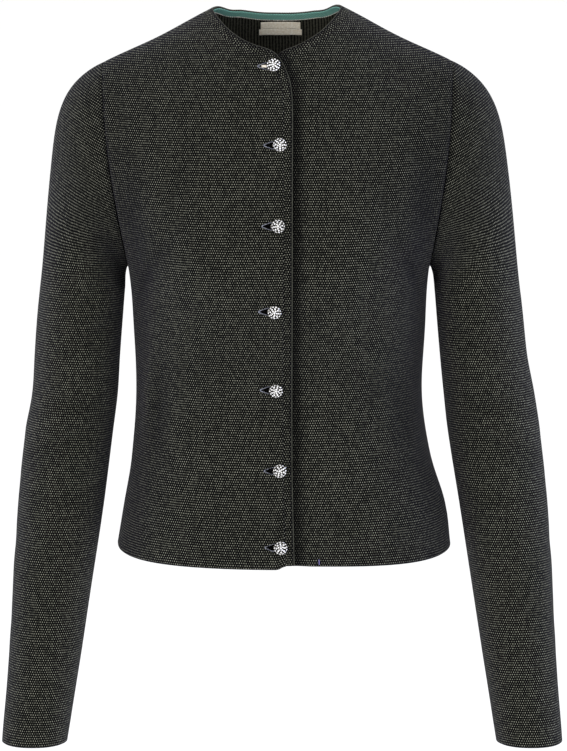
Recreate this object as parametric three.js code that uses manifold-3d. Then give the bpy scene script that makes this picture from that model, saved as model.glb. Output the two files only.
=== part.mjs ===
// A round-necked, waist-length knitted cardigan of the Alpine kind, worn closed on seven domed metal buttons.
// It keeps the hollow form that it has on a wearer: two fronts, a back and two set-in sleeves, each a thin wall of
// cloth, with a narrow knitted band round the neck and down both front edges, a tape and a blank label inside.
//
// Millimetres. +Z is up, -Y is the front and +X the wearer's left. The origin lies in the middle of the neck opening,
// level with the neck ends of the shoulder seams, where the wearer's shoulders carry the garment.
import * as THREE from "three";
import { mergeVertices } from "three/addons/utils/BufferGeometryUtils.js";
import Module from "manifold-3d";

const wasm = await Module();
wasm.setup();

// ---- Driving dimensions ----

const CLOTH = 2; // thickness of the knit
const SEAM_GAP = 0.3; // space between two pieces that are sewn together

const FRONT = -1; // the two faces of the body, by the sign of Y
const BACK = 1;
const WEARERS_RIGHT = -1; // the two sides, by the sign of X
const WEARERS_LEFT = 1;

const HEM_Z = -517;
const HEM_LIFT = 3; // the hem is this much higher at the side seams
const HEM_DROP = { right: 1.5, left: -2 }; // how much lower each front hangs at its closing edge
const UNDERARM_Z = -247;
const SEAM_Y = 6; // the side and shoulder seams lie in this plane
const SIDE_INSET = 0.0016; // half a seam gap, as a turn in radians at the side seam
const TOP_INSET = 0.0012; // half a seam gap, as a level at the shoulder seam

// The body: half width, depth in front of and behind the side seam, exponent of the rounded oval, sideways shift.
const TORSO = [
  { z: HEM_Z, half: 160.5, front: 117, back: 106, square: 2.75, shift: 4.1 },
  { z: -480, half: 155, front: 114, back: 102, square: 2.7, shift: 4.8 },
  { z: -430, half: 143.8, front: 107, back: 90, square: 2.6, shift: 1.8 },
  { z: -370, half: 137.4, front: 102, back: 79, square: 2.5, shift: -0.4 },
  { z: -300, half: 139.8, front: 112, back: 84, square: 2.5, shift: -0.3 },
  { z: UNDERARM_Z, half: 143.5, front: 119, back: 92, square: 2.5, shift: -0.5 },
  { z: -190, half: 153.9, front: 112, back: 84, square: 2.5, shift: -0.5 }, // only leads the curve at the row before
];
const BUST = { forward: 7, out: 68, z: -222, across: 52, high: 62 };

// The shoulder line over x. Its peak lies a little to the wearer's left, as that shoulder is the higher one.
const SHOULDER = { peak: 37.6, middle: 1.5, slope: 0.52, round: 30, sag: 2.6, sagAt: 112, sagWide: 36 };
const SHOULDER_HALF = 165.6; // from the middle to the top of the armhole seam
const SHOULDER_SHIFT = -2;
const ARMHOLE_DEPTH = { [FRONT]: 54, [BACK]: 58 }; // from the shoulder seam's plane to the armhole seam
const CHEST_FALL = { [FRONT]: 1.5, [BACK]: 2.2 }; // how late the chest and back turn in towards the shoulder

// The edge of the wearer's right front, from the hem up the closing edge, round the corner and along the neck.
const FRONT_EDGE = [
  { z: HEM_Z, x: 13.7 },
  { z: -420, x: 10.9 },
  { z: -250, x: 10.8 },
  { z: -133, x: 11.2 },
  { z: -104, x: 12.5 },
  { z: -84, x: 12.5 },
  { z: -72, x: 11.9 },
  { z: -60, x: 9.9 },
  { z: -48.2, x: 5.3 },
  { z: -40.2, x: 0.6 },
  { z: -35, x: -4.6 },
  { z: -32, x: -10.5 },
  { z: -29.3, x: -19.5 },
  { z: -26.2, x: -28.5 },
  { z: -22.2, x: -37.2 },
  { z: -16.1, x: -46.4 },
  { z: -9, x: -54.5 },
  { z: -2.5, x: -60.8 },
  { z: 0.6, x: -64.5 },
];
const CORNER_Z = -100; // the closing edge is straight below this
const CORNER_X = 12; // and lies about here at that height
const BACK_NECK = [
  { x: -64.5, z: 0.6 },
  { x: -50, z: -1.8 },
  { x: -36, z: -3.7 },
  { x: -19, z: -6.4 },
  { x: -2, z: -7.2 },
  { x: 15, z: -7 },
  { x: 32, z: -4.8 },
  { x: 46, z: -1.4 },
  { x: 59.5, z: 2.5 },
];
const CLOSING_X = -2.5; // the two fronts mirror each other about this line
const UNDERLAP = { drop: CLOTH + 0.8, ease: 17 }; // the lower front dips under the upper one
const CORNER = { lift: 3.4, from: 17, to: 8.5 }; // the upper front's hem rises over this stretch before its corner

const BAND = { width: 8, bead: 1 }; // knitted band, with a rolled bead at its free edge
const TAPE = { from: 0.3, width: 7.4, thick: 0.8, under: 0.6 };
const LABELS = [
  { name: "label_upper", width: 39, top: -15.2, height: 6.9, thick: 0.5 },
  { name: "label_lower", width: 42, top: -22.5, height: 5.8, thick: 0.5 },
];
const LABEL = { x: 1, under: 1.3 }; // it hangs a little clear of the back

// The sleeve below the armhole: distance out from the middle, half width, half depth and place from front to back.
// The wearer's left sleeve swings further out, and is fuller at the elbow.
const SLEEVE = [
  { z: -702, out: 236, half: 31.4, deep: 33, y: -36, swing: 4.6, fuller: 0.4 },
  { z: -630, out: 227.6, half: 34.6, deep: 36, y: -25, swing: 5, fuller: 0.6 },
  { z: -555, out: 219.4, half: 38, deep: 40, y: -13, swing: 5.2, fuller: 1 },
  { z: -480, out: 211, half: 41.2, deep: 44, y: -3, swing: 5.2, fuller: 1.1 },
  { z: -406, out: 202.6, half: 42.4, deep: 47, y: 5, swing: 3.9, fuller: 2.2 },
  { z: -370, out: 196.8, half: 41.2, deep: 48, y: 7, swing: 4.7, fuller: 2.5 },
  { z: -330, out: 194, half: 41, deep: 49, y: 8, swing: 1.6, fuller: 0.8 },
  { z: -268, out: 188.6, half: 40.6, deep: 50, y: 7, swing: 0.6, fuller: 0.2 },
];
const SLEEVE_SQUARENESS = 2.2;
// How far the sleeve head bulges, on top and under the arm, and how much it leans in as it meets the arm.
const CAP = { lead: 60, leadUnder: 5, rise: 155, riseUnder: 7, lean: 0.1 };

const BUTTON = { radius: 6.6, dome: 3.4, edge: 1.6, lobes: 6, shank: 1.2, standoff: 1.9 };
// Each button: its place, and how far its head is turned sideways and up, in degrees.
const BUTTONS = [
  { x: -5.4, z: -47.5, sideways: -4, up: 4 },
  { x: 0.4, z: -118.9, sideways: 5, up: 3 },
  { x: -1.4, z: -192.8, sideways: 0, up: 0 },
  { x: -4.6, z: -272.6, sideways: -8, up: -3 },
  { x: -3.2, z: -349.3, sideways: -8, up: -4 },
  { x: 0.4, z: -426, sideways: -9, up: 4 },
  { x: 1.2, z: -497.8, sideways: 0, up: 0 },
];
// The stretched buttonhole, as half its height at each distance from the button's middle.
const BUTTONHOLE = [
  { x: -14.5, half: 0.3 },
  { x: -11.5, half: 1.5 },
  { x: -7.5, half: 2.9 },
  { x: -3, half: 3.2 },
  { x: 0.5, half: 2.7 },
  { x: 2.2, half: 1.4 },
];
const CUT_REACH = 8; // how far a buttonhole's cutter reaches either side of the cloth's face

// How many faces each way
const ROWS = { side: 12, armhole: 15, closing: 18 };
const COLUMNS = { front: 12, shoulder: 4, neck: 12 };
const RINGS = { cap: 8, arm: 14 };
const BUTTON_STEPS = 18;
const EDGE_SAMPLES = 400;

const SEAM_TURN = 14; // the bands' cross-sections turn into line with the shoulder seam over this length

// ---- Small helpers ----

const mix = (a, b, t) => a + (b - a) * t;
const clamp = (x, low, high) => Math.min(Math.max(x, low), high);
const range = (n) => Array.from({ length: n }, (_, i) => i);
const radians = THREE.MathUtils.degToRad;
const smoothstep = THREE.MathUtils.smoothstep;

// One column of a table, at a value of its key column, on a smooth curve through the rows.
function read(table, key, value, column) {
  let i = 1;
  while (i < table.length - 1 && table[i][key] < value) i++;
  const a = table[i - 1];
  const b = table[i];
  const slope = (row) => {
    const before = table[Math.max(row - 1, 0)];
    const after = table[Math.min(row + 1, table.length - 1)];
    return (after[column] - before[column]) / (after[key] - before[key]);
  };
  const span = b[key] - a[key];
  const t = clamp((value - a[key]) / span, 0, 1);
  const s = t * t * (3 - 2 * t);
  const lead = t * (1 - t) * (1 - t) * span * slope(i - 1);
  const trail = t * t * (t - 1) * span * slope(i);
  return mix(a[column], b[column], s) + lead + trail;
}

// A geometry from vertices and triangles, turned so that its faces point out.
function closedGeometry(points, triangles) {
  let volume = 0;
  const cross = new THREE.Vector3();
  for (const [a, b, c] of triangles) volume += points[a].dot(cross.crossVectors(points[b], points[c]));
  const facing = volume < 0 ? triangles.map(([a, b, c]) => [a, c, b]) : triangles;
  const geometry = new THREE.BufferGeometry().setFromPoints(points);
  geometry.setIndex(facing.flat());
  geometry.computeVertexNormals();
  return geometry;
}

// A closed wall on a grid of outer points with outward normals. `around` joins the last column to the first.
function clothWall(grid, around = false, thickness = CLOTH) {
  const rows = grid.length;
  const columns = grid[0].length;
  const outer = grid.flat().map(({ p }) => p);
  const inner = grid.flat().map(({ p, n }) => p.clone().addScaledVector(n, -thickness));
  const at = (row, column) => row * columns + (column % columns);
  const under = (index) => index + outer.length;
  const triangles = [];
  const quad = (a, b, c, d) => triangles.push([a, b, c], [a, c, d]);
  for (const row of range(rows - 1)) {
    for (const column of range(around ? columns : columns - 1)) {
      const [a, b] = [at(row, column), at(row, column + 1)];
      const [c, d] = [at(row + 1, column + 1), at(row + 1, column)];
      quad(a, b, c, d);
      quad(under(d), under(c), under(b), under(a));
    }
  }
  const rim = (a, b) => quad(b, a, under(a), under(b));
  for (const column of range(around ? columns : columns - 1)) {
    rim(at(0, column), at(0, column + 1));
    rim(at(rows - 1, column + 1), at(rows - 1, column));
  }
  if (!around) {
    for (const row of range(rows - 1)) {
      rim(at(row + 1, 0), at(row, 0));
      rim(at(row, columns - 1), at(row + 1, columns - 1));
    }
  }
  return closedGeometry([...outer, ...inner], triangles);
}

// A solid through a list of rings of points, closed at both ends by the flat outline that the rings follow.
function loft(rings, outline) {
  const count = outline.length;
  const triangles = [];
  for (const ring of range(rings.length - 1)) {
    for (const i of range(count)) {
      const [a, b] = [ring * count + i, ring * count + ((i + 1) % count)];
      triangles.push([a, b, b + count], [a, b + count, a + count]);
    }
  }
  const last = (rings.length - 1) * count;
  const clockwise = THREE.ShapeUtils.area(outline) < 0;
  for (const cap of THREE.ShapeUtils.triangulateShape(outline, [])) {
    const [a, b, c] = clockwise ? cap.reverse() : cap;
    triangles.push([a, c, b], [last + a, last + b, last + c]);
  }
  return closedGeometry(rings.flat(), triangles);
}

// ---- The body's form ----
// A point on the body is found by its face, its turn (0 in the middle, a quarter turn at the side seam, negative to
// the wearer's right) and its level (-1 at the hem, 0 at the underarm, 1 at the shoulder seam).

function shoulderZ(x) {
  const { peak, middle, slope, round, sag, sagAt, sagWide } = SHOULDER;
  return peak - slope * Math.hypot(x - middle, round) - sag * Math.exp(-(((Math.abs(x) - sagAt) / sagWide) ** 2));
}

function section(face, level) {
  if (level <= 0) {
    const z = UNDERARM_Z + level * (UNDERARM_Z - HEM_Z);
    const at = (column) => read(TORSO, "z", z, column);
    const depth = at(face === FRONT ? "front" : "back");
    return { z, depth, climb: 0, reach: Math.PI / 2, half: at("half"), shift: at("shift"), square: at("square") };
  }
  const base = TORSO.find(({ z }) => z === UNDERARM_Z);
  const { square } = base;
  const climb = Math.min(1 - (1 - level) ** 2, 1 - 1e-8);
  const full = face === FRONT ? base.front : base.back;
  const depth = full * Math.sqrt(1 - climb ** CHEST_FALL[face]);
  const armholeX = mix(base.half, SHOULDER_HALF, Math.sin((climb * Math.PI) / 2));
  const armholeY = ARMHOLE_DEPTH[face] * 2 * Math.sqrt(climb * (1 - climb));
  const ahead = armholeY / depth;
  const across = (1 - ahead ** square) ** (1 / square);
  const shift = mix(base.shift, SHOULDER_SHIFT, climb);
  return { z: UNDERARM_Z, depth, climb, reach: Math.atan2(across, ahead), half: armholeX / across, shift, square };
}

function bodyPoint(face, turn, level) {
  const { z: base, depth, climb, half, shift, square } = section(face, level);
  const [across, ahead] = [Math.sin(turn), Math.cos(turn)];
  const size = (Math.abs(across) ** square + Math.abs(ahead) ** square) ** (1 / square);
  const x = (half * across) / size;
  const hem = level < 0 ? HEM_LIFT * across ** 6 * level ** 4 : 0;
  const z = base + hem + climb * (shoulderZ(x) - UNDERARM_Z);
  let y = SEAM_Y + (face * depth * ahead) / size;
  if (face === FRONT) {
    const aside = (Math.abs(x) - BUST.out) / BUST.across;
    const above = (z - BUST.z) / BUST.high;
    y -= BUST.forward * Math.exp(-(aside ** 2) - above ** 2);
  }
  return new THREE.Vector3(x + shift, y, z);
}

// How the point moves with turn and level, and the outward normal.
function bodySlopes(face, turn, level) {
  const step = 1e-3;
  const up = Math.min(level + step, 1);
  const byTurn = bodyPoint(face, turn + step, level).sub(bodyPoint(face, turn - step, level));
  const byLevel = bodyPoint(face, turn, up).sub(bodyPoint(face, turn, level - step));
  byTurn.divideScalar(2 * step);
  byLevel.divideScalar(up - level + step);
  const normal = byTurn.clone().cross(byLevel).normalize().multiplyScalar(-face);
  return { byTurn, byLevel, normal };
}

const bodyPatch = (face, turn, level) => ({
  p: bodyPoint(face, turn, level),
  n: bodySlopes(face, turn, level).normal,
});

// The turn and level of the point at x and z on a face.
function locate(face, x, z) {
  let level = (z - UNDERARM_Z) / (UNDERARM_Z - HEM_Z);
  if (level > 0) {
    const climb = (z - UNDERARM_Z) / (shoulderZ(x - SHOULDER_SHIFT) - UNDERARM_Z);
    level = 1 - Math.sqrt(Math.max(1 - climb, 0));
  }
  return { level, turn: turnAt(face, x, level) };
}

function turnAt(face, x, level) {
  const { half, shift, square } = section(face, level);
  const across = clamp((x - shift) / half, -1, 1);
  return Math.atan2(across, (1 - Math.abs(across) ** square) ** (1 / square));
}

// The place reached by going a distance over the cloth from a station, along its way in.
function walk(face, from, distance) {
  const steps = Math.max(1, Math.ceil(distance / 2));
  let { turn, level } = from;
  const top = level;
  for (const _ of range(steps)) {
    const { byTurn, byLevel } = bodySlopes(face, turn, level);
    const [a, b, c] = [byTurn.dot(byTurn), byTurn.dot(byLevel), byLevel.dot(byLevel)];
    const goal = from.inward.clone().multiplyScalar(distance / steps);
    const [d, e] = [goal.dot(byTurn), goal.dot(byLevel)];
    const whole = a * c - b * b;
    turn += (d * c - e * b) / whole;
    level = from.onSeam ? top : Math.min(level + (a * e - b * d) / whole, 1 - TOP_INSET);
  }
  return { turn, level };
}

// ---- Edges: the closing edge with the front neckline, and the back neckline ----

// Places along an edge, with the way in from it over the cloth. Where the edge ends at a shoulder seam, the way in
// turns to run along that seam.
function stations(face, places, distances, inward) {
  const points = places.map(({ turn, level }) => bodyPoint(face, turn, level));
  const along = [0];
  for (const i of range(points.length - 1)) along.push(along[i] + points[i].distanceTo(points[i + 1]));
  const total = along.at(-1);
  return distances(total).map((distance) => {
    let i = 1;
    while (i < along.length - 1 && along[i] < distance) i++;
    const t = (distance - along[i - 1]) / (along[i] - along[i - 1]);
    const turn = mix(places[i - 1].turn, places[i].turn, t);
    const level = mix(places[i - 1].level, places[i].level, t);
    const tangent = points[i].clone().sub(points[i - 1]).normalize();
    const { byTurn, normal } = bodySlopes(face, turn, level);
    const square = normal.clone().cross(tangent).normalize().multiplyScalar(inward);
    const toSeam = face === FRONT ? total - distance : Math.min(distance, total - distance);
    const seamward = byTurn.normalize().multiplyScalar(Math.sign(byTurn.dot(square)));
    const way = square.lerp(seamward, 1 - smoothstep(toSeam, 0, SEAM_TURN)).normalize();
    return { turn, level, inward: way, onSeam: toSeam < 1e-6 };
  });
}

const EDGE_LEVELS = FRONT_EDGE.map(({ x, z }) => ({ x, level: locate(FRONT, x, z).level }));
const CORNER_LEVEL = locate(FRONT, CORNER_X, CORNER_Z).level;

function frontEdgeX(side, level) {
  const x = read(EDGE_LEVELS, "level", level, "x");
  return side === WEARERS_RIGHT ? x : 2 * CLOSING_X - x;
}

// The front edge's stations: evenly up the closing edge, and more closely round the corner and along the neck.
function frontStations(side) {
  const places = range(EDGE_SAMPLES + 1).map((i) => {
    const level = mix(-1, 1 - TOP_INSET, i / EDGE_SAMPLES);
    return { level, turn: turnAt(FRONT, frontEdgeX(side, level), level) };
  });
  const straight = CORNER_Z - HEM_Z;
  const neckRows = ROWS.side + ROWS.armhole - ROWS.closing;
  const distances = (total) => [
    ...range(ROWS.closing).map((i) => (straight * i) / ROWS.closing),
    ...range(neckRows + 1).map((i) => mix(straight, total, i / neckRows)),
  ];
  return stations(FRONT, places, distances, -side);
}

function backStations() {
  const neck = BACK_NECK.map(({ x, z }) => ({ x, level: Math.min(locate(BACK, x, z).level, 1 - TOP_INSET) }));
  const [first, last] = [neck[0].x, neck.at(-1).x];
  const places = range(EDGE_SAMPLES + 1).map((i) => {
    const x = mix(first, last, i / EDGE_SAMPLES);
    const level = Math.min(read(neck, "x", x, "level"), 1 - TOP_INSET);
    return { level, turn: turnAt(BACK, x, level) };
  });
  return stations(BACK, places, (total) => range(COLUMNS.neck + 1).map((i) => (total * i) / COLUMNS.neck), 1);
}

// ---- Panels ----

// How far a front lies below the body's form: the wearer's left front passes under the right one.
function dip(side, point, level) {
  if (side === WEARERS_RIGHT) return 0;
  const edge = frontEdgeX(WEARERS_RIGHT, Math.min(level, CORNER_LEVEL));
  return UNDERLAP.drop * (1 - smoothstep(point.x, edge + 1, edge + 1 + UNDERLAP.ease));
}

function frontPatch(side, turn, level) {
  const { p, n } = bodyPatch(FRONT, turn, level);
  const placed = p.clone().addScaledVector(n, -dip(side, p, level));
  const low = Math.max(-level, 0) ** 4;
  const drop = side === WEARERS_RIGHT ? HEM_DROP.right : HEM_DROP.left;
  placed.z -= drop * low * Math.cos(turn) ** 8;
  if (side === WEARERS_RIGHT) {
    const inside = FRONT_EDGE[0].x - p.x;
    placed.z += CORNER.lift * (1 - smoothstep(inside, CORNER.to, CORNER.from)) * low ** 2;
  }
  return { p: placed, n };
}

// The levels of the rows at a side seam and up the armhole, where they meet the rows of the sleeve.
function sideLevels() {
  const below = range(ROWS.side).map((i) => i / ROWS.side - 1);
  const above = range(ROWS.armhole + 1).map((i) => 1 - Math.sin((Math.PI / 2) * (1 - i / ROWS.armhole)));
  return [...below, ...above].map((level) => Math.min(level, 1 - TOP_INSET));
}

function frontPanel(side) {
  const levels = sideLevels();
  const inset = BAND.width + SEAM_GAP;
  const grid = frontStations(side).map((station, row) => {
    const inner = walk(FRONT, station, inset);
    const innerShare = inner.turn / section(FRONT, inner.level).reach;
    return range(COLUMNS.front + 1).map((column) => {
      const t = column / COLUMNS.front;
      const level = mix(inner.level, levels[row], t);
      const turn = mix(innerShare, side, t) * section(FRONT, level).reach;
      return frontPatch(side, turn - side * t * SIDE_INSET, level);
    });
  });
  return clothWall(grid);
}

function backPanel() {
  const levels = sideLevels();
  const inset = BAND.width + SEAM_GAP;
  const neck = backStations().map((station) => walk(BACK, station, inset));
  const share = ({ turn, level }) => turn / section(BACK, level).reach;
  const shoulder = (from, to) =>
    range(COLUMNS.shoulder).map((i) => ({ share: mix(from, to, i / COLUMNS.shoulder), level: levels.at(-1) }));
  const top = [
    ...shoulder(-1, share(neck[0])),
    ...neck.map((place) => ({ share: share(place), level: place.level })),
    ...shoulder(1, share(neck.at(-1))).reverse(),
  ];
  const grid = levels.map((sideLevel, row) => {
    const rise = row / (levels.length - 1);
    return top.map((end, column) => {
      const even = (2 * column) / (top.length - 1) - 1;
      const level = sideLevel + (end.level - levels.at(-1)) * rise ** 2;
      const turn = mix(even, end.share, rise) * (section(BACK, level).reach - SIDE_INSET);
      return bodyPatch(BACK, turn, level);
    });
  });
  return clothWall(grid);
}

// ---- Bands, tape and labels: strips made from the body's own points ----

// A strip along an edge with a cross-section of (distance in from the edge, height over the cloth).
function strip(places, patch, outline) {
  const rings = places.map((place) =>
    outline.map(({ x: inset, y: height }) => {
      const { turn, level } = inset > 0 ? walk(place.face, place, inset) : place;
      const { p, n } = patch(turn, level);
      return p.clone().addScaledVector(n, height);
    }),
  );
  return loft(rings, outline);
}

// Flat over the cloth's own thickness, with a round bead at the free edge.
function bandSection() {
  const middle = -CLOTH / 2;
  const steps = [-135, -90, -45, 0, 45, 90, 135];
  const bead = steps.map((degrees) => {
    const angle = radians(degrees);
    return new THREE.Vector2(BAND.bead * (1 - Math.cos(angle)), middle + BAND.bead * Math.sin(angle));
  });
  return [...bead, new THREE.Vector2(BAND.width, 0), new THREE.Vector2(BAND.width, -CLOTH)];
}

function frontBand(side) {
  const places = frontStations(side).map((station) => ({ ...station, face: FRONT }));
  return strip(places, (turn, level) => frontPatch(side, turn, level), bandSection());
}

function backBand() {
  const places = backStations().map((station) => ({ ...station, face: BACK }));
  return strip(places, (turn, level) => bodyPatch(BACK, turn, level), bandSection());
}

function neckTape() {
  const places = backStations().map((station) => ({ ...station, face: BACK }));
  const top = -CLOTH - TAPE.under;
  const outline = [
    new THREE.Vector2(TAPE.from, top - TAPE.thick),
    new THREE.Vector2(TAPE.from + TAPE.width, top - TAPE.thick),
    new THREE.Vector2(TAPE.from + TAPE.width, top),
    new THREE.Vector2(TAPE.from, top),
  ];
  return strip(places, (turn, level) => bodyPatch(BACK, turn, level), outline);
}

function label({ width, top, height, thick }) {
  const [columns, rows] = [6, 2];
  const grid = range(rows + 1).map((row) =>
    range(columns + 1).map((column) => {
      const x = LABEL.x + width * (column / columns - 0.5);
      const z = top - height * (1 - row / rows);
      const { turn, level } = locate(BACK, x, z);
      const { p, n } = bodyPatch(BACK, turn, level);
      return { p: p.clone().addScaledVector(n, -CLOTH - LABEL.under), n };
    }),
  );
  return clothWall(grid, false, thick);
}

// ---- Sleeves ----

// A sleeve's rings follow the armhole seam at the head and the arm below it. `around` is 0 on top of the shoulder,
// a quarter turn in front, a half turn under the arm and three quarters behind.
function armholeSeam(side, around) {
  const face = around <= Math.PI ? FRONT : BACK;
  const level = Math.min(1 - Math.sin((face === FRONT ? around : 2 * Math.PI - around) / 2), 1);
  const turn = side * section(face, level).reach;
  return { p: bodyPoint(face, turn, level), n: bodySlopes(face, turn, level).normal };
}

function armPoint(side, around, z) {
  const arm = (column) => read(SLEEVE, "z", z, column);
  const extra = side === WEARERS_LEFT ? 1 : 0;
  const [middle, half] = [arm("out") + extra * arm("swing"), arm("half") + extra * arm("fuller")];
  const [out, ahead] = [Math.cos(around), Math.sin(around)];
  const size = (Math.abs(out) ** SLEEVE_SQUARENESS + Math.abs(ahead) ** SLEEVE_SQUARENESS) ** (1 / SLEEVE_SQUARENESS);
  return new THREE.Vector3(side * (middle + (half * out) / size), arm("y") - (arm("deep") * ahead) / size, z);
}

// The sleeve head runs from the armhole seam out over the shoulder, then down into the arm.
function headPoint(side, around, share) {
  const step = 0.01;
  const seam = armholeSeam(side, around);
  const [ahead, behind] = [around + step, around - step + (around < step ? 2 * Math.PI : 0)];
  const tangent = armholeSeam(side, ahead).p.sub(armholeSeam(side, behind).p).normalize();
  const away = seam.n.clone().cross(tangent).multiplyScalar(side * SEAM_GAP);
  const high = Math.cos(around / 2) ** 2;
  const slope = new THREE.Vector3(side, 0, -SHOULDER.slope).normalize();
  const rise = new THREE.Vector3(-CAP.lean * side, 0, 1).normalize();
  const from = seam.p.clone().add(away);
  const to = armPoint(side, around, SLEEVE.at(-1).z);
  const curve = new THREE.CubicBezierCurve3(
    from,
    from.clone().addScaledVector(slope, mix(CAP.leadUnder, CAP.lead, high)),
    to.clone().addScaledVector(rise, mix(CAP.riseUnder, CAP.rise, high)),
    to,
  );
  return curve.getPoint(share);
}

// `share` runs from 0 at the armhole seam to 1 where the arm begins, and on to 2 at the cuff.
function sleevePoint(side, around, share) {
  if (share < 1) return headPoint(side, around, share);
  return armPoint(side, around, mix(SLEEVE.at(-1).z, SLEEVE[0].z, share - 1));
}

function sleeve(side) {
  const steps = 2 * ROWS.armhole;
  const shares = [
    ...range(RINGS.cap).map((i) => i / RINGS.cap),
    ...range(RINGS.arm + 1).map((i) => 1 + i / RINGS.arm),
  ];
  const nudge = 0.004;
  const grid = shares.map((share) =>
    range(steps).map((step) => {
      const around = (2 * Math.PI * step) / steps;
      const p = sleevePoint(side, around, share);
      const before = sleevePoint(side, around, Math.max(share - nudge, 0));
      const after = sleevePoint(side, around, Math.min(share + nudge, 2));
      const turned = sleevePoint(side, around + nudge, share).sub(p);
      const n = turned.cross(after.sub(before)).normalize().multiplyScalar(side);
      return { p, n };
    }),
  );
  return clothWall(grid, true);
}

// ---- Buttons and buttonholes ----

// A domed head with a raised rim and a lobed boss, and a shank that goes through the buttonhole.
function buttonGeometry() {
  const { radius, dome, edge, lobes, shank, standoff } = BUTTON;
  const foot = -(UNDERLAP.drop - 2 * SEAM_GAP) - standoff;
  const profile = [
    { r: 0.16, height: dome, lobed: 0 },
    { r: 0.42, height: dome - 0.3, lobed: 0.12 },
    { r: 0.6, height: dome * 0.62, lobed: 0.1 },
    { r: 0.74, height: dome * 0.5, lobed: 0 },
    { r: 0.86, height: dome * 0.68, lobed: 0 },
    { r: 0.97, height: dome * 0.5, lobed: 0 },
    { r: 1, height: edge * 0.6, lobed: 0 },
    { r: 0.8, height: 0, lobed: 0 },
    { r: shank / radius, height: 0, lobed: 0 },
    { r: shank / radius, height: foot, lobed: 0 },
  ];
  const rings = profile.map(({ r, height, lobed }) =>
    range(BUTTON_STEPS).map((step) => {
      const angle = (2 * Math.PI * step) / BUTTON_STEPS;
      const swell = radius * (r + lobed * Math.cos(lobes * angle));
      return new THREE.Vector3(swell * Math.cos(angle), swell * Math.sin(angle), height);
    }),
  );
  const outline = range(BUTTON_STEPS).map((step) => {
    const angle = (2 * Math.PI * step) / BUTTON_STEPS;
    return new THREE.Vector2(Math.cos(angle), Math.sin(angle));
  });
  return loft(rings, outline);
}

// The place of a button on the front's surface: across, up the cloth, and out along the normal.
function buttonFrame({ x, z }) {
  const { turn, level } = locate(FRONT, x, z);
  const { p, n } = bodyPatch(FRONT, turn, level);
  const across = new THREE.Vector3(1, 0, 0).addScaledVector(n, -n.x).normalize();
  return new THREE.Matrix4().makeBasis(across, n.clone().cross(across), n).setPosition(p);
}

function placeButton(mesh, place) {
  const askew = new THREE.Euler(radians(-place.up), radians(place.sideways), 0);
  const turned = new THREE.Matrix4().makeRotationFromEuler(askew);
  mesh.applyMatrix4(buttonFrame(place).multiply(turned.setPosition(0, 0, BUTTON.standoff)));
}

function buttonholeCutter(place) {
  const upper = BUTTONHOLE.map((row) => new THREE.Vector2(row.x, row.half));
  const lower = BUTTONHOLE.map((row) => new THREE.Vector2(row.x, -row.half)).reverse();
  const outline = [...upper, ...lower];
  const ring = (height) => outline.map(({ x, y }) => new THREE.Vector3(x, y, height));
  return loft([ring(-CUT_REACH), ring(CUT_REACH)], outline).applyMatrix4(buttonFrame(place));
}

function solidOf(geometry) {
  const bare = new THREE.BufferGeometry().setAttribute("position", geometry.getAttribute("position"));
  bare.setIndex(geometry.index);
  const merged = mergeVertices(bare, 1e-4);
  const mesh = new wasm.Mesh({
    numProp: 3,
    vertProperties: merged.getAttribute("position").array,
    triVerts: new Uint32Array(merged.index.array),
  });
  return new wasm.Manifold(mesh);
}

function cutAway(geometry, cutters) {
  const cut = cutters.reduce((body, cutter) => body.subtract(solidOf(cutter)), solidOf(geometry));
  const { vertProperties, triVerts } = cut.getMesh();
  const made = new THREE.BufferGeometry();
  made.setAttribute("position", new THREE.BufferAttribute(new Float32Array(vertProperties), 3));
  made.setIndex(new THREE.BufferAttribute(new Uint32Array(triVerts), 1));
  made.computeVertexNormals();
  return made;
}

// ---- The garment ----

const knit = new THREE.MeshStandardMaterial({ color: 0x33342e, roughness: 0.95, metalness: 0 });
const band = new THREE.MeshStandardMaterial({ color: 0x383932, roughness: 0.95, metalness: 0 });
const tape = new THREE.MeshStandardMaterial({ color: 0x2f7d70, roughness: 0.7, metalness: 0 });
const cream = new THREE.MeshStandardMaterial({ color: 0xd9cdb4, roughness: 0.8, metalness: 0 });
const silver = new THREE.MeshStandardMaterial({ color: 0xb9b7b0, roughness: 0.35, metalness: 1 });

const cardigan = new THREE.Group();
function add(name, geometry, material) {
  const mesh = new THREE.Mesh(geometry, material);
  mesh.name = name;
  cardigan.add(mesh);
  return mesh;
}

add("right_front", cutAway(frontPanel(WEARERS_RIGHT), BUTTONS.map(buttonholeCutter)), knit);
add("left_front", frontPanel(WEARERS_LEFT), knit);
add("back", backPanel(), knit);
add("right_sleeve", sleeve(WEARERS_RIGHT), knit);
add("left_sleeve", sleeve(WEARERS_LEFT), knit);
add("right_band", cutAway(frontBand(WEARERS_RIGHT), [buttonholeCutter(BUTTONS[0])]), band);
add("left_band", frontBand(WEARERS_LEFT), band);
add("back_band", backBand(), band);
add("neck_tape", neckTape(), tape);
for (const piece of LABELS) add(piece.name, label(piece), cream);
BUTTONS.forEach((place, i) => placeButton(add(`button_${i + 1}`, buttonGeometry(), silver), place));

export default cardigan;
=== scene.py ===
"""The looks of a round-necked knitted Alpine cardigan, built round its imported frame.

Every piece is worked out in millimetres from the same dimensions as the frame's solids, and made in metres.
+Z is up, -Y the front and +X the wearer's left.
"""

import math

import bpy
import numpy as np
from mathutils import Matrix, Vector


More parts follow.
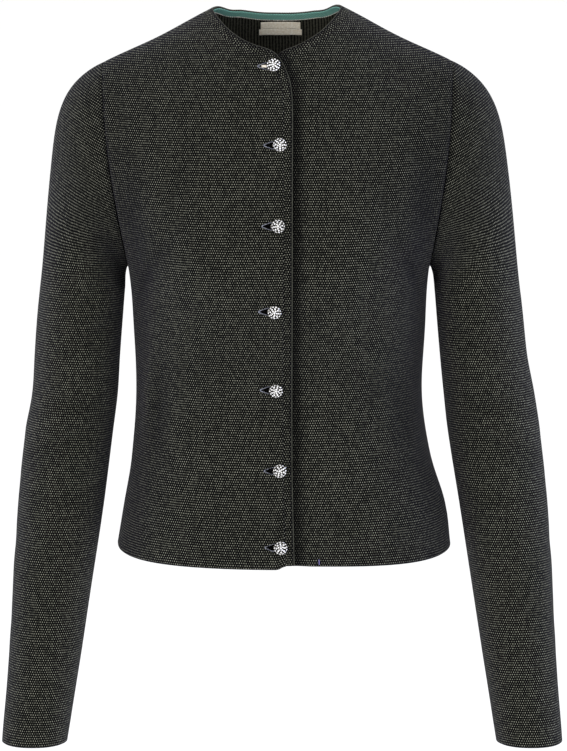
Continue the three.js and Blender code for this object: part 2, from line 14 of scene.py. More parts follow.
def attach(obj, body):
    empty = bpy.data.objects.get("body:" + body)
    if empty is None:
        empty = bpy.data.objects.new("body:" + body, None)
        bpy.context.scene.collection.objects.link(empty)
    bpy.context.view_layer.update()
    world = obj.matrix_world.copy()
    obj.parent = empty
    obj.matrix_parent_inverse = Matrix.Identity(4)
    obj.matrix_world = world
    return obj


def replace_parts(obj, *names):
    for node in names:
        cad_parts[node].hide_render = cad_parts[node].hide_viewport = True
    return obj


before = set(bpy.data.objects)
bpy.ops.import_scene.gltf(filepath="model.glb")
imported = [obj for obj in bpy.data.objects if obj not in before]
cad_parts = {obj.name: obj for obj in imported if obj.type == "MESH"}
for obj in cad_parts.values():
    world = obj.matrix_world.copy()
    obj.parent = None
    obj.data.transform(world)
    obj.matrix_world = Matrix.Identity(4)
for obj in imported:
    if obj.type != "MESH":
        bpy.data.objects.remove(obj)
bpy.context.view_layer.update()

MM = 0.001
TAU = 2 * math.pi
FRONT, BACK = -1, 1
WEARERS_RIGHT, WEARERS_LEFT = -1, 1


def table(columns, *rows):
    """A table with named columns, as arrays."""
    return {name: np.array(column, float) for name, column in zip(columns.split(), zip(*rows))}


# ---- Dimensions, the same as the solids' ----

CLOTH = 2.0
SEAM_GAP = 0.3
HEM_Z, UNDERARM_Z = -517, -247
HEM_LIFT = 3
HEM_DROP = {WEARERS_RIGHT: 1.5, WEARERS_LEFT: -2}
SEAM_Y = 6
SIDE_INSET, TOP_INSET = 0.0004, 0.0003  # a quarter of the solids', as the sewing draws each seam shut
TORSO = table(
    "z half front back square shift",
    (HEM_Z, 160.5, 117, 106, 2.75, 4.1),
    (-480, 155, 114, 102, 2.7, 4.8),
    (-430, 143.8, 107, 90, 2.6, 1.8),
    (-370, 137.4, 102, 79, 2.5, -0.4),
    (-300, 139.8, 112, 84, 2.5, -0.3),
    (UNDERARM_Z, 143.5, 119, 92, 2.5, -0.5),
    (-190, 153.9, 112, 84, 2.5, -0.5),
)
BUST = dict(forward=7, out=68, z=-222, across=52, high=62)
SHOULDER = dict(peak=37.6, middle=1.5, slope=0.52, round=30, sag=2.6, sag_at=112, sag_wide=36)
SHOULDER_HALF, SHOULDER_SHIFT = 165.6, -2
ARMHOLE_DEPTH = {FRONT: 54, BACK: 58}
CHEST_FALL = {FRONT: 1.5, BACK: 2.2}
FRONT_EDGE = table(  # with its bead full, the closing lies up to 1.5 mm further over than the solids'
    "z x",
    (HEM_Z, 14.3), (-420, 12.2), (-250, 12.3), (-133, 12.5), (-104, 12.7), (-84, 12.5), (-72, 11.9),
    (-60, 9.9), (-48.2, 5.3), (-40.2, 0.6), (-35, -4.6), (-32, -10.5), (-29.3, -19.5), (-26.2, -28.5),
    (-22.2, -37.2), (-16.1, -46.4), (-9, -54.5), (-2.5, -60.8), (0.6, -64.5),
)
CORNER_X, CORNER_Z = 12, -100  # where the straight closing edge turns towards the neck
BACK_NECK = table(
    "x z",
    (-64.5, 0.6), (-50, -1.8), (-36, -3.7), (-19, -6.4), (-2, -7.2), (15, -7), (32, -4.8), (46, -1.4),
    (59.5, 2.5),
)
CLOSING_X = -2.5
UNDERLAP = dict(drop=CLOTH + 0.8, ease=17)
CORNER = dict(lift=3.4, start=17, end=8.5)
SEAM_TURN = 14
BAND = dict(width=8, bead=1)
TAPE = dict(start=0.3, width=7.4, thick=0.8, under=0.6)
LABEL = dict(x=1, under=1.3, thick=0.5)
LABELS = table("width top height", (39, -15.2, 6.9), (42, -22.5, 5.8))
SLEEVE = table(
    "z out half deep y swing fuller",
    (-702, 236, 31.4, 33, -36, 4.6, 0.4),
    (-630, 227.6, 34.6, 36, -25, 5, 0.6),
    (-555, 219.4, 38, 40, -13, 5.2, 1),
    (-480, 211, 41.2, 44, -3, 5.2, 1.1),
    (-406, 202.6, 42.4, 47, 5, 3.9, 2.2),
    (-370, 196.8, 41.2, 48, 7, 4.7, 2.5),
    (-330, 194, 41, 49, 8, 1.6, 0.8),
    (-268, 188.6, 40.6, 50, 7, 0.6, 0.2),
)
CUFF_Z, BICEPS_Z = SLEEVE["z"][0], SLEEVE["z"][-1]
SLEEVE_SQUARENESS = 2.2
CAP = dict(lead=60, lead_under=5, rise=155, rise_under=7, lean=0.1)
BUTTON = dict(radius=6.6, dome=3.4, shank=1.2, standoff=1.9)
BUTTONS = table(
    "x z sideways up turned",
    (-5.4, -47.5, -4, 4, 0), (0.4, -118.9, 5, 3, 0.9), (-1.4, -192.8, 0, 0, 2.3), (-4.6, -272.6, -8, -3, 3.4),
    (-3.2, -349.3, -8, -4, 4.4), (0.4, -426, -9, 4, 5.1), (1.2, -497.8, 0, 0, 1.6),
)
BUTTONHOLE = table("x half", (-14.5, 0.3), (-11.5, 1.5), (-7.5, 2.9), (-3, 3.2), (0.5, 2.7), (2.2, 1.4))

# How finely each piece is drawn
ROWS = dict(side=72, armhole=90, closing=108)
COLUMNS = dict(front=84, shoulder=24, neck=60)
RINGS = dict(cap=50, arm=150, around=150)
BAND_STEP = 0.65
TAPE_GRID = dict(along=180, across=6)
LABEL_GRID = dict(across=40, down=12)
BUTTON_RINGS, BUTTON_STEPS = 44, 120
EDGE_SAMPLES = 1600


# ---- The body's form ----


def read(rows, key, value, column):
    """One column of a table at values of its key column, on a smooth curve through the rows."""
    keys, values = rows[key], rows[column]
    last = len(keys) - 1
    before, after = np.maximum(np.arange(last + 1) - 1, 0), np.minimum(np.arange(last + 1) + 1, last)
    slopes = (values[after] - values[before]) / (keys[after] - keys[before])
    value = np.asarray(value, float)
    i = np.clip(np.searchsorted(keys, value), 1, last)
    span = keys[i] - keys[i - 1]
    t = np.clip((value - keys[i - 1]) / span, 0, 1)
    eased = t * t * (3 - 2 * t)
    lead = t * (1 - t) ** 2 * span * slopes[i - 1]
    trail = t * t * (t - 1) * span * slopes[i]
    return values[i - 1] + (values[i] - values[i - 1]) * eased + lead + trail


def smoothstep(x, low, high):
    t = np.clip((x - low) / (high - low), 0, 1)
    return t * t * (3 - 2 * t)


def unit(vectors):
    return vectors / np.maximum(np.linalg.norm(vectors, axis=-1, keepdims=True), 1e-12)


def dot(a, b):
    return np.sum(a * b, axis=-1)


def shoulder_z(x):
    sag = SHOULDER["sag"] * np.exp(-(((np.abs(x) - SHOULDER["sag_at"]) / SHOULDER["sag_wide"]) ** 2))
    return SHOULDER["peak"] - SHOULDER["slope"] * np.hypot(x - SHOULDER["middle"], SHOULDER["round"]) - sag


def section(face, level):
    """The body's section at a level: -1 at the hem, 0 at the underarm and 1 at the shoulder seam."""
    level = np.asarray(level, float)
    z = np.minimum(UNDERARM_Z + level * (UNDERARM_Z - HEM_Z), UNDERARM_Z)
    climb = np.clip(1 - (1 - np.maximum(level, 0)) ** 2, 0, 1 - 1e-8)
    at = {column: read(TORSO, "z", z, column) for column in ("half", "front", "back", "square", "shift")}
    depth = at["front" if face == FRONT else "back"] * np.sqrt(1 - climb ** CHEST_FALL[face])
    armhole_x = at["half"] + (SHOULDER_HALF - at["half"]) * np.sin(climb * math.pi / 2)
    ahead = ARMHOLE_DEPTH[face] * 2 * np.sqrt(climb * (1 - climb)) / depth
    across = (1 - ahead ** at["square"]) ** (1 / at["square"])
    shift = at["shift"] + (SHOULDER_SHIFT - at["shift"]) * climb
    return dict(z=z, depth=depth, climb=climb, reach=np.arctan2(across, ahead), half=armhole_x / across,
                shift=shift, square=at["square"])


def body_point(face, turn, level):
    """The point of the body at a turn (0 in the middle, a quarter turn at the side seam) and a level."""
    cut = section(face, level)
    across, ahead, square = np.sin(turn), np.cos(turn), cut["square"]
    size = (np.abs(across) ** square + np.abs(ahead) ** square) ** (1 / square)
    x = cut["half"] * across / size
    hem = HEM_LIFT * across ** 6 * np.minimum(level, 0) ** 4
    z = cut["z"] + hem + cut["climb"] * (shoulder_z(x) - UNDERARM_Z)
    y = SEAM_Y + face * cut["depth"] * ahead / size
    if face == FRONT:
        aside = (np.abs(x) - BUST["out"]) / BUST["across"]
        y = y - BUST["forward"] * np.exp(-(aside ** 2) - ((z - BUST["z"]) / BUST["high"]) ** 2)
    return np.stack([x + cut["shift"], y, z], axis=-1)


def body_slopes(face, turn, level):
    """How the point moves with turn and with level, and the outward normal."""
    step = 1e-3
    up = np.minimum(level + step, 1)
    by_turn = (body_point(face, turn + step, level) - body_point(face, turn - step, level)) / (2 * step)
    rise = body_point(face, turn, up) - body_point(face, turn, level - step)
    by_level = rise / (up - level + step)[..., None]
    return by_turn, by_level, unit(np.cross(by_turn, by_level)) * -face


def turn_at(face, x, level):
    cut = section(face, level)
    across = np.clip((x - cut["shift"]) / cut["half"], -1, 1)
    return np.arctan2(across, (1 - np.abs(across) ** cut["square"]) ** (1 / cut["square"]))


def locate(face, x, z):
    """The turn and level of the point at x and z on a face."""
    x, z = np.broadcast_arrays(np.asarray(x, float), np.asarray(z, float))
    climb = (z - UNDERARM_Z) / (shoulder_z(x - SHOULDER_SHIFT) - UNDERARM_Z)
    above = 1 - np.sqrt(np.maximum(1 - np.maximum(climb, 0), 0))
    level = np.where(z > UNDERARM_Z, above, (z - UNDERARM_Z) / (UNDERARM_Z - HEM_Z))
    return turn_at(face, x, level), level


def walk(face, edge, distance):
    """The turn and level reached by going a distance over the cloth from each station of an edge."""
    turn, level = edge["turn"].copy(), edge["level"].copy()
    steps = max(1, math.ceil(distance / 2))
    goal = edge["inward"] * (distance / steps)
    for _ in range(steps):
        by_turn, by_level, _normal = body_slopes(face, turn, level)
        a, b, c = dot(by_turn, by_turn), dot(by_turn, by_level), dot(by_level, by_level)
        d, e = dot(goal, by_turn), dot(goal, by_level)
        whole = a * c - b * b
        turn = turn + (d * c - e * b) / whole
        moved = np.minimum(level + (a * e - b * d) / whole, 1 - TOP_INSET)
        level = np.where(edge["on_seam"], edge["level"], moved)
    return turn, level


# ---- Edges ----


def stations(face, turn, level, distances, inward):
    """Places along an edge, with the way in from it over the cloth, which turns along a shoulder seam at the
    edge's end."""
    points = body_point(face, turn, level)
    gaps = np.linalg.norm(np.diff(points, axis=0), axis=1)
    along = np.concatenate([[0], np.cumsum(gaps)])
    total = along[-1]
    at = distances(total)
    i = np.clip(np.searchsorted(along, at), 1, len(along) - 1)
    tangent = unit(points[i] - points[i - 1])
    turn, level = np.interp(at, along, turn), np.interp(at, along, level)
    by_turn, _by_level, normal = body_slopes(face, turn, level)
    square = unit(np.cross(normal, tangent)) * inward
    to_seam = total - at if face == FRONT else np.minimum(at, total - at)
    seamward = unit(by_turn) * np.sign(dot(by_turn, square))[:, None]
    weight = (1 - smoothstep(to_seam, 0, SEAM_TURN))[:, None]
    way = unit(square * (1 - weight) + seamward * weight)
    return dict(turn=turn, level=level, inward=way, on_seam=to_seam < 1e-6, along=at)


EDGE_LEVELS = dict(level=locate(FRONT, FRONT_EDGE["x"], FRONT_EDGE["z"])[1], x=FRONT_EDGE["x"])
CORNER_LEVEL = float(locate(FRONT, CORNER_X, CORNER_Z)[1])


def front_edge_x(side, level):
    x = read(EDGE_LEVELS, "level", level, "x")
    return x if side == WEARERS_RIGHT else 2 * CLOSING_X - x


def panel_distances(total):
    straight = CORNER_Z - HEM_Z
    neck_rows = ROWS["side"] + ROWS["armhole"] - ROWS["closing"]
    closing = np.linspace(0, straight, ROWS["closing"], endpoint=False)
    return np.concatenate([closing, np.linspace(straight, total, neck_rows + 1)])


def even_distances(total):
    return np.linspace(0, total, round(total / BAND_STEP) + 1)


def front_stations(side, distances):
    level = np.linspace(-1, 1 - TOP_INSET, EDGE_SAMPLES + 1)
    turn = turn_at(FRONT, front_edge_x(side, level), level)
    return stations(FRONT, turn, level, distances, -side)


def back_stations(distances):
    neck_level = np.minimum(locate(BACK, BACK_NECK["x"], BACK_NECK["z"])[1], 1 - TOP_INSET)
    x = np.linspace(BACK_NECK["x"][0], BACK_NECK["x"][-1], EDGE_SAMPLES + 1)
    level = np.minimum(read(dict(x=BACK_NECK["x"], level=neck_level), "x", x, "level"), 1 - TOP_INSET)
    return stations(BACK, turn_at(BACK, x, level), level, distances, 1)


# ---- The cloth's own millimetres, which the knit follows ----


RISE_LINE = 0.55  # how far out to a point, as a share, the line lies on which its height is measured


def knit_coordinates(face, turn, level, steps=16):
    """How far each point lies over the cloth, across from the middle and up from the underarm."""
    points = body_point(face, turn, level)
    x, z = points[..., 0], points[..., 2]
    middle = section(face, level)["shift"]
    share = np.linspace(0, 1, steps + 1).reshape((-1,) + (1,) * turn.ndim)

    def run(path):
        return np.linalg.norm(np.diff(path, axis=0), axis=-1).sum(axis=0)

    def run_through(xs, zs):
        y = body_point(face, *locate(face, xs, zs))[..., 1]
        return run(np.stack(np.broadcast_arrays(xs, y, zs), axis=-1))

    below = run(body_point(face, turn * share, level + 0 * share))
    above = run_through(middle + (x - middle) * share, z + 0 * share)
    across = np.where(level < 0, below, above) * np.sign(turn)
    rise = run_through(RISE_LINE * x + 0 * share, UNDERARM_Z + (z - UNDERARM_Z) * share)
    up = rise * np.sign(z - UNDERARM_Z)
    return np.stack([across, up], axis=-1)


def folds(cloth_mm, creases):
    """Soft troughs (negative) and ridges, each on a line of some length, at a tilt from level."""
    lift = np.zeros(cloth_mm.shape[:-1])
    for across, up, tilt, length, width, height in zip(*creases.values()):
        a, b = cloth_mm[..., 0] - across, cloth_mm[..., 1] - up
        turn = math.radians(tilt)
        along, beside = a * math.cos(turn) + b * math.sin(turn), b * math.cos(turn) - a * math.sin(turn)
        lift += height * np.exp(-((along / length) ** 2) - (beside / width) ** 2)
    return lift


def unevenness(cloth_mm, amount=0.35):
    """The slight waviness of knitted cloth: waves of unlike lengths, so that none is seen to repeat."""
    a, b = cloth_mm[..., 0], cloth_mm[..., 1]
    wave = np.sin(a / 17 + np.sin(b / 29)) * np.cos(b / 23 + 0.7) + np.sin(a / 41 - b / 33 + 1.3)
    return amount * wave


FOLD_COLUMNS = "across up tilt length width height"
FRONT_FOLDS = table(
    FOLD_COLUMNS,
    (-122, -128, 84, 48, 13, -2.2), (-140, -120, 80, 44, 12, 1.4), (124, -136, 96, 42, 13, -1.6),
    (-158, -60, 89, 190, 24, -1.7), (156, -60, 91, 200, 26, -1.9),
    (-138, 8, 52, 34, 8, -1.8), (-118, 22, 58, 30, 9, -1.0), (140, 10, 128, 32, 8, -1.6),
    (150, 70, 96, 56, 20, -1.6), (-150, 50, 84, 50, 18, -1.2),
    (117, 26, 120, 28, 9, -0.9), (-66, -84, 12, 40, 13, -0.8), (70, -92, 168, 38, 13, -0.8),
    (-34, -178, 4, 44, 15, 0.7), (48, -186, 176, 40, 15, 0.7), (-96, 96, 70, 40, 14, -0.8),
    (98, 90, 112, 38, 13, -0.8),
)
BACK_FOLDS = table(
    FOLD_COLUMNS,
    (-30, -112, 6, 60, 10, -1.8), (26, -132, 176, 66, 11, -1.6), (-8, -92, 4, 50, 11, 1.2),
    (-84, -120, 20, 36, 11, -1.2), (88, -108, 158, 38, 11, -1.3), (-120, 20, 118, 40, 9, -1.9),
    (118, 24, 60, 38, 9, -1.8), (-98, 44, 112, 36, 11, -1.0), (102, 52, 70, 34, 11, -1.0),
    (0, 128, 90, 50, 20, -0.8),
)
SLEEVE_FOLDS = table(
    FOLD_COLUMNS,
    (62, 292, 24, 34, 9, -2.0), (48, 312, 10, 30, 9, 1.3), (70, 330, -16, 36, 9, -1.8),
    (34, 270, 36, 30, 9, -1.1), (-64, 306, -20, 32, 9, -1.4), (-50, 286, -34, 30, 9, -0.9),
    (96, 402, 30, 26, 8, -1.8), (-98, 408, -28, 26, 8, -1.6), (78, 430, 44, 28, 9, -1.1),
    (40, 128, 22, 34, 12, -0.9), (-36, 96, -18, 34, 12, -0.8), (18, 196, 14, 36, 13, -0.7),
)


def from_edge(points, name):
    """How far each point of a grid lies from one of its edges."""
    rims = dict(bottom=points[:1], top=points[-1:], start=points[:, :1], end=points[:, -1:])
    return np.linalg.norm(points - rims[name], axis=-1)


SEAM_ROLL = 2.6  # how far from a seam its roll reaches
SEAM_HOLD = 16  # how far from a seam the folds run out
TIPS = dict(fuller=0.8, low=-80, high=-55)  # the shoulder tips, which the outline shows, roll in less


def sunk_edges(points, **edges):
    """How far a grid sinks towards the seams at its edges, each given as a depth in millimetres."""
    drop = sum(depth * np.exp(-((from_edge(points, name) / SEAM_ROLL) ** 2)) for name, depth in edges.items())
    return drop * (1 - TIPS["fuller"] * smoothstep(points[..., 2], TIPS["low"], TIPS["high"]))


def held_at(points, edges):
    """How free the cloth is to fold: not at all on a seam, and fully some way in from it."""
    return np.prod([smoothstep(from_edge(points, name), 0, SEAM_HOLD) for name in edges], axis=0)


# ---- Panels ----


def dip(side, points, level):
    """How far a front lies below the body's form: the wearer's left front passes under the right one."""
    if side == WEARERS_RIGHT:
        return np.zeros(level.shape)
    edge = front_edge_x(WEARERS_RIGHT, np.minimum(level, CORNER_LEVEL))
    return UNDERLAP["drop"] * (1 - smoothstep(points[..., 0], edge + 1, edge + 1 + UNDERLAP["ease"]))


def front_patch(side, turn, level):
    points = body_point(FRONT, turn, level)
    normal = body_slopes(FRONT, turn, level)[2]
    placed = points - normal * dip(side, points, level)[..., None]
    low = np.maximum(-level, 0) ** 4
    placed[..., 2] -= HEM_DROP[side] * low * np.cos(turn) ** 8
    if side == WEARERS_RIGHT:
        inside = FRONT_EDGE["x"][0] - points[..., 0]
        placed[..., 2] += CORNER["lift"] * (1 - smoothstep(inside, CORNER["end"], CORNER["start"])) * low**2
    return placed, normal


def back_patch(turn, level):
    return body_point(BACK, turn, level), body_slopes(BACK, turn, level)[2]


def side_levels():
    below = np.arange(ROWS["side"]) / ROWS["side"] - 1
    above = 1 - np.sin(math.pi / 2 * (1 - np.arange(ROWS["armhole"] + 1) / ROWS["armhole"]))
    return np.minimum(np.concatenate([below, above]), 1 - TOP_INSET)


def front_grid(side):
    """The turns and levels of a front's grid, from its edge to the side seam and from the hem up."""
    edge = front_stations(side, panel_distances)
    turn, inner_level = walk(FRONT, edge, BAND["width"] + SEAM_GAP)
    inner_share = turn / section(FRONT, inner_level)["reach"]
    t = np.arange(COLUMNS["front"] + 1) / COLUMNS["front"]
    level = inner_level[:, None] * (1 - t) + side_levels()[:, None] * t
    share = inner_share[:, None] * (1 - t) + side * t
    return share * section(FRONT, level)["reach"] - side * t * SIDE_INSET, level


def back_grid():
    """The turns and levels of the back's grid, from side to side and from the hem to the shoulders."""
    levels = side_levels()
    edge = back_stations(lambda total: np.linspace(0, total, COLUMNS["neck"] + 1))
    neck_turn, neck_level = walk(BACK, edge, BAND["width"] + SEAM_GAP)
    neck_share = neck_turn / section(BACK, neck_level)["reach"]
    steps = np.arange(COLUMNS["shoulder"]) / COLUMNS["shoulder"]
    left = -1 + (neck_share[0] + 1) * steps
    right = (1 + (neck_share[-1] - 1) * steps)[::-1]
    top_share = np.concatenate([left, neck_share, right])
    flat = np.full(COLUMNS["shoulder"], levels[-1])
    top_level = np.concatenate([flat, neck_level, flat])
    rise = (np.arange(len(levels)) / (len(levels) - 1))[:, None]
    even = np.linspace(-1, 1, len(top_share))
    level = levels[:, None] + (top_level - levels[-1]) * rise**2
    share = even * (1 - rise) + top_share * rise
    return share * (section(BACK, level)["reach"] - SIDE_INSET), level


# ---- Sleeves ----


def armhole_seam(side, around):
    face_front = around <= math.pi
    half_turn = np.where(face_front, around, TAU - around) / 2
    level = np.minimum(1 - np.sin(half_turn), 1)
    made = []
    for face in (FRONT, BACK):
        turn = side * section(face, level)["reach"]
        made.append((body_point(face, turn, level), body_slopes(face, turn, level)[2]))
    pick = face_front[..., None]
    return np.where(pick, made[0][0], made[1][0]), np.where(pick, made[0][1], made[1][1])


def arm_point(side, around, z):
    arm = {column: read(SLEEVE, "z", z, column) for column in SLEEVE}
    extra = 1 if side == WEARERS_LEFT else 0
    middle, half = arm["out"] + extra * arm["swing"], arm["half"] + extra * arm["fuller"]
    out, ahead = np.cos(around), np.sin(around)
    size = (np.abs(out) ** SLEEVE_SQUARENESS + np.abs(ahead) ** SLEEVE_SQUARENESS) ** (1 / SLEEVE_SQUARENESS)
    x, y = side * (middle + half * out / size), arm["y"] - arm["deep"] * ahead / size
    return np.stack(np.broadcast_arrays(x, y, z), axis=-1)


def head_point(side, around, share):
    step = 0.01
    seam, normal = armhole_seam(side, around)
    ahead, behind = armhole_seam(side, (around + step) % TAU)[0], armhole_seam(side, (around - step) % TAU)[0]
    away = np.cross(normal, unit(ahead - behind)) * side * SEAM_GAP
    high = (np.cos(around / 2) ** 2)[..., None]
    slope = unit(np.array([side, 0, -SHOULDER["slope"]]))
    rise = unit(np.array([-CAP["lean"] * side, 0, 1.0]))
    start = seam + away
    end = arm_point(side, around, np.full(around.shape, BICEPS_Z))
    first = start + slope * (CAP["lead_under"] + (CAP["lead"] - CAP["lead_under"]) * high)
    second = end + rise * (CAP["rise_under"] + (CAP["rise"] - CAP["rise_under"]) * high)
    t = share[..., None]
    return start * (1 - t) ** 3 + 3 * first * t * (1 - t) ** 2 + 3 * second * t**2 * (1 - t) + end * t**3


def sleeve_point(side, around, share):
    """share runs from 0 at the armhole seam to 1 where the arm begins, and on to 2 at the cuff."""
    head = head_point(side, around, np.clip(share, 0, 1))
    arm = arm_point(side, around, BICEPS_Z + (CUFF_Z - BICEPS_Z) * np.clip(share - 1, 0, 1))
    return np.where((share < 1)[..., None], head, arm)


def sleeve_grid(side):
    """The sleeve's points and normals, from the underarm seam round the front and back to it."""
    cap, arm = np.arange(RINGS["cap"]) / RINGS["cap"], np.arange(RINGS["arm"] + 1) / RINGS["arm"]
    steps = np.arange(RINGS["around"] + 1) / RINGS["around"]
    around, share = np.meshgrid((math.pi + TAU * steps) % TAU, np.concatenate([cap, 1 + arm]))
    points = sleeve_point(side, around, share)
    nudge = 0.004
    along = sleeve_point(side, around, np.minimum(share + nudge, 2)) - sleeve_point(
        side, around, np.maximum(share - nudge, 0))
    turned = sleeve_point(side, (around + nudge) % TAU, share) - points
    return points, unit(np.cross(turned, along)) * side


CAP_ROWS = dict(rise=0.87, inward=0.5, low=-262, high=-150)  # how the sleeve head's rows of knit slant


def sleeve_coordinates(side, points):
    """Across from the sleeve's top line and up from the cuff, over the cloth. In the head the rows slant."""
    middle = points.shape[1] // 2
    rounds = np.linalg.norm(np.diff(points, axis=1), axis=-1)
    across = np.concatenate([np.zeros((points.shape[0], 1)), np.cumsum(rounds, axis=1)], axis=1)
    rises = np.linalg.norm(np.diff(points[::-1], axis=0), axis=-1)
    up = np.concatenate([np.zeros((1, points.shape[1])), np.cumsum(rises, axis=0)])[::-1]
    ring = np.argmax(points[:, 0, 2] <= BICEPS_Z + 1e-6)
    centre = points[ring].mean(axis=0)
    inward = -side * (points[..., 0] - centre[0])
    slanted = up[ring].mean() + (points[..., 2] - BICEPS_Z) * CAP_ROWS["rise"] + inward * CAP_ROWS["inward"]
    slant = smoothstep(points[..., 2], CAP_ROWS["low"], CAP_ROWS["high"])
    return np.stack([across - across[:, middle:middle + 1], up + (slanted - up) * slant], axis=-1)


# ---- Meshes ----


def make_object(name, verts, faces, materials, corners, face_slots=None):
    """A smooth-shaded mesh object. corners gives, for each face corner, its place on the cloth in
    millimetres, across and up, and its relief, from 0 in the deep to 1 in the open, which on the wool
    is painted shade in its colour."""
    mesh = bpy.data.meshes.new(name)
    mesh.from_pydata(np.asarray(verts).tolist(), [], faces)
    if corners is not None:
        corners = np.asarray(corners, np.float32)
        relief = np.stack([corners[:, 2], 0 * corners[:, 2]], axis=-1)
        for layer, values in (("cloth", corners[:, :2]), ("relief", relief)):
            mesh.uv_layers.new(name=layer)
            mesh.uv_layers[layer].data.foreach_set("uv", values.ravel())
    for material in materials:
        mesh.materials.append(material)
    if face_slots is not None:
        mesh.polygons.foreach_set("material_index", np.asarray(face_slots, np.int32))
    mesh.polygons.foreach_set("use_smooth", np.ones(len(mesh.polygons), bool))
    mesh.update()
    made = bpy.data.objects.new(name, mesh)
    bpy.context.collection.objects.link(made)
    return facing_out(made)


def facing_out(made):
    """Turns a closed mesh's faces to point outwards."""
    mesh = made.data
    mesh.calc_loop_triangles()
    places = np.empty(len(mesh.vertices) * 3, np.float32)
    mesh.vertices.foreach_get("co", places)
    triangles = np.empty(len(mesh.loop_triangles) * 3, np.int32)
    mesh.loop_triangles.foreach_get("vertices", triangles)
    corners = places.reshape(-1, 3).astype(float)[triangles.reshape(-1, 3)]
    if dot(corners[:, 0], np.cross(corners[:, 1], corners[:, 2])).sum() < 0:
        mesh.flip_normals()
    return made


def quads(grid):
    """The corners of each cell of a grid, in order round the cell."""
    cells = np.stack([grid[:-1, :-1], grid[:-1, 1:], grid[1:, 1:], grid[1:, :-1]], axis=2)
    return cells.reshape((-1, 4) + grid.shape[2:])


def cloth_shell(name, points, normals, cloth, materials, thickness=CLOTH, wrap=False, bulge=None):
    """A closed wall under a grid of outer points. cloth gives each point's place on the cloth and its
    relief. The free edges named in bulge are rounded outwards. A wrapped grid's last column is its first."""
    rows, columns = points.shape[:2]
    if wrap:
        points, normals = points[:, :-1], normals[:, :-1]
    width = points.shape[1]
    count = rows * width
    outer, inner = points.reshape(-1, 3), (points - normals * thickness).reshape(-1, 3)
    index = np.arange(count).reshape(rows, width)
    if wrap:
        index = np.concatenate([index, index[:, :1]], axis=1)
    shell, places = quads(index), quads(cloth)
    faces = [shell, shell[:, ::-1] + count]
    corners = [places.reshape(-1, 3), places[:, ::-1].reshape(-1, 3)]

    bottom = [(0, column, "bottom") for column in range(columns)]
    top = [(rows - 1, column, "top") for column in range(columns)][::-1]
    end = [(row, columns - 1, "end") for row in range(rows)]
    start = [(row, 0, "start") for row in range(rows)][::-1]
    loops = [bottom, top] if wrap else [bottom[:-1] + end[:-1] + top[:-1] + start]
    inward = dict(bottom=(1, 0), top=(-1, 0), start=(0, 1), end=(0, -1))
    rim, edge_faces, edge_corners = [], [], []
    for ring in loops:
        first, whole = 2 * count + len(rim), len(ring) - 1
        for row, column, side in ring[:-1]:
            step, column = inward[side], column % width
            here, inside = points[row, column], points[row + step[0], (column + step[1]) % width]
            out = unit(here - inside) * (bulge or {}).get(side, 0)
            rim.append(here - normals[row, column] * thickness / 2 + out)
        for k in range(whole):
            a, b = ring[k], ring[k + 1]
            ia, ib = index[a[0], a[1]], index[b[0], b[1]]
            middle_a, middle_b = first + k, first + (k + 1) % whole
            edge_faces += [(ib, ia, middle_a, middle_b), (middle_b, middle_a, ia + count, ib + count)]
            edge_corners += [cloth[b[0], b[1]], cloth[a[0], a[1]], cloth[a[0], a[1]], cloth[b[0], b[1]]] * 2
    faces = np.concatenate(faces + [np.array(edge_faces)]).tolist()
    corners = np.concatenate(corners + [np.array(edge_corners)])
    slots = np.zeros(len(faces), int)
    slots[len(shell):2 * len(shell)] = 1
    verts = np.concatenate([outer, inner, np.array(rim)]) * MM
    return make_object(name, verts, faces, materials, corners, slots)


def loft(name, rings, materials, cloth=None):
    """A solid through rings of points of one length, with its ends closed."""
    count, around = rings.shape[:2]
    index = np.arange(count * around).reshape(count, around)
    faces = quads(np.concatenate([index, index[:, :1]], axis=1)).tolist()
    faces += [index[0][::-1].tolist(), index[-1].tolist()]
    corners = None
    if cloth is not None:
        sides = quads(np.concatenate([cloth, cloth[:, :1]], axis=1)).reshape(-1, 3)
        corners = np.concatenate([sides, cloth[0][::-1], cloth[-1]])
    return make_object(name, rings.reshape(-1, 3) * MM, faces, materials, corners)


def joined(name, pieces):
    """Several mesh objects as one."""
    bpy.ops.object.select_all(action="DESELECT")
    for piece in pieces:
        piece.select_set(True)
    bpy.context.view_layer.objects.active = pieces[0]
    bpy.ops.object.join()
    pieces[0].name = name
    return pieces[0]


def cut_away(piece, cutter):
    """Cuts a closed mesh out of another, and removes it."""
    modifier = piece.modifiers.new("cut", "BOOLEAN")
    modifier.operation, modifier.solver, modifier.object = "DIFFERENCE", "EXACT", cutter
    apply_modifiers(piece)
    bpy.data.objects.remove(cutter)


def apply_modifiers(piece):
    """Bakes a piece's modifiers into its mesh."""
    evaluated = piece.evaluated_get(bpy.context.evaluated_depsgraph_get())
    mesh = bpy.data.meshes.new_from_object(evaluated)
    piece.modifiers.clear()
    piece.data = mesh


# ---- Materials ----


def srgb(code):
    """A hex colour as linear RGBA."""
    parts = [int(code[i:i + 2], 16) / 255 for i in (1, 3, 5)]
    return tuple(c / 12.92 if c <= 0.04045 else ((c + 0.055) / 1.055) ** 2.4 for c in parts) + (1.0,)


MATH, NOISE, RAMP = "ShaderNodeMath", "ShaderNodeTexNoise", "ShaderNodeValToRGB"
UV_MAP, SPLIT, PLACE = "ShaderNodeUVMap", "ShaderNodeSeparateXYZ", "ShaderNodeTexCoord"
VECTORS = "ShaderNodeVectorMath"
FLAT = {"noise_dimensions": "2D"}


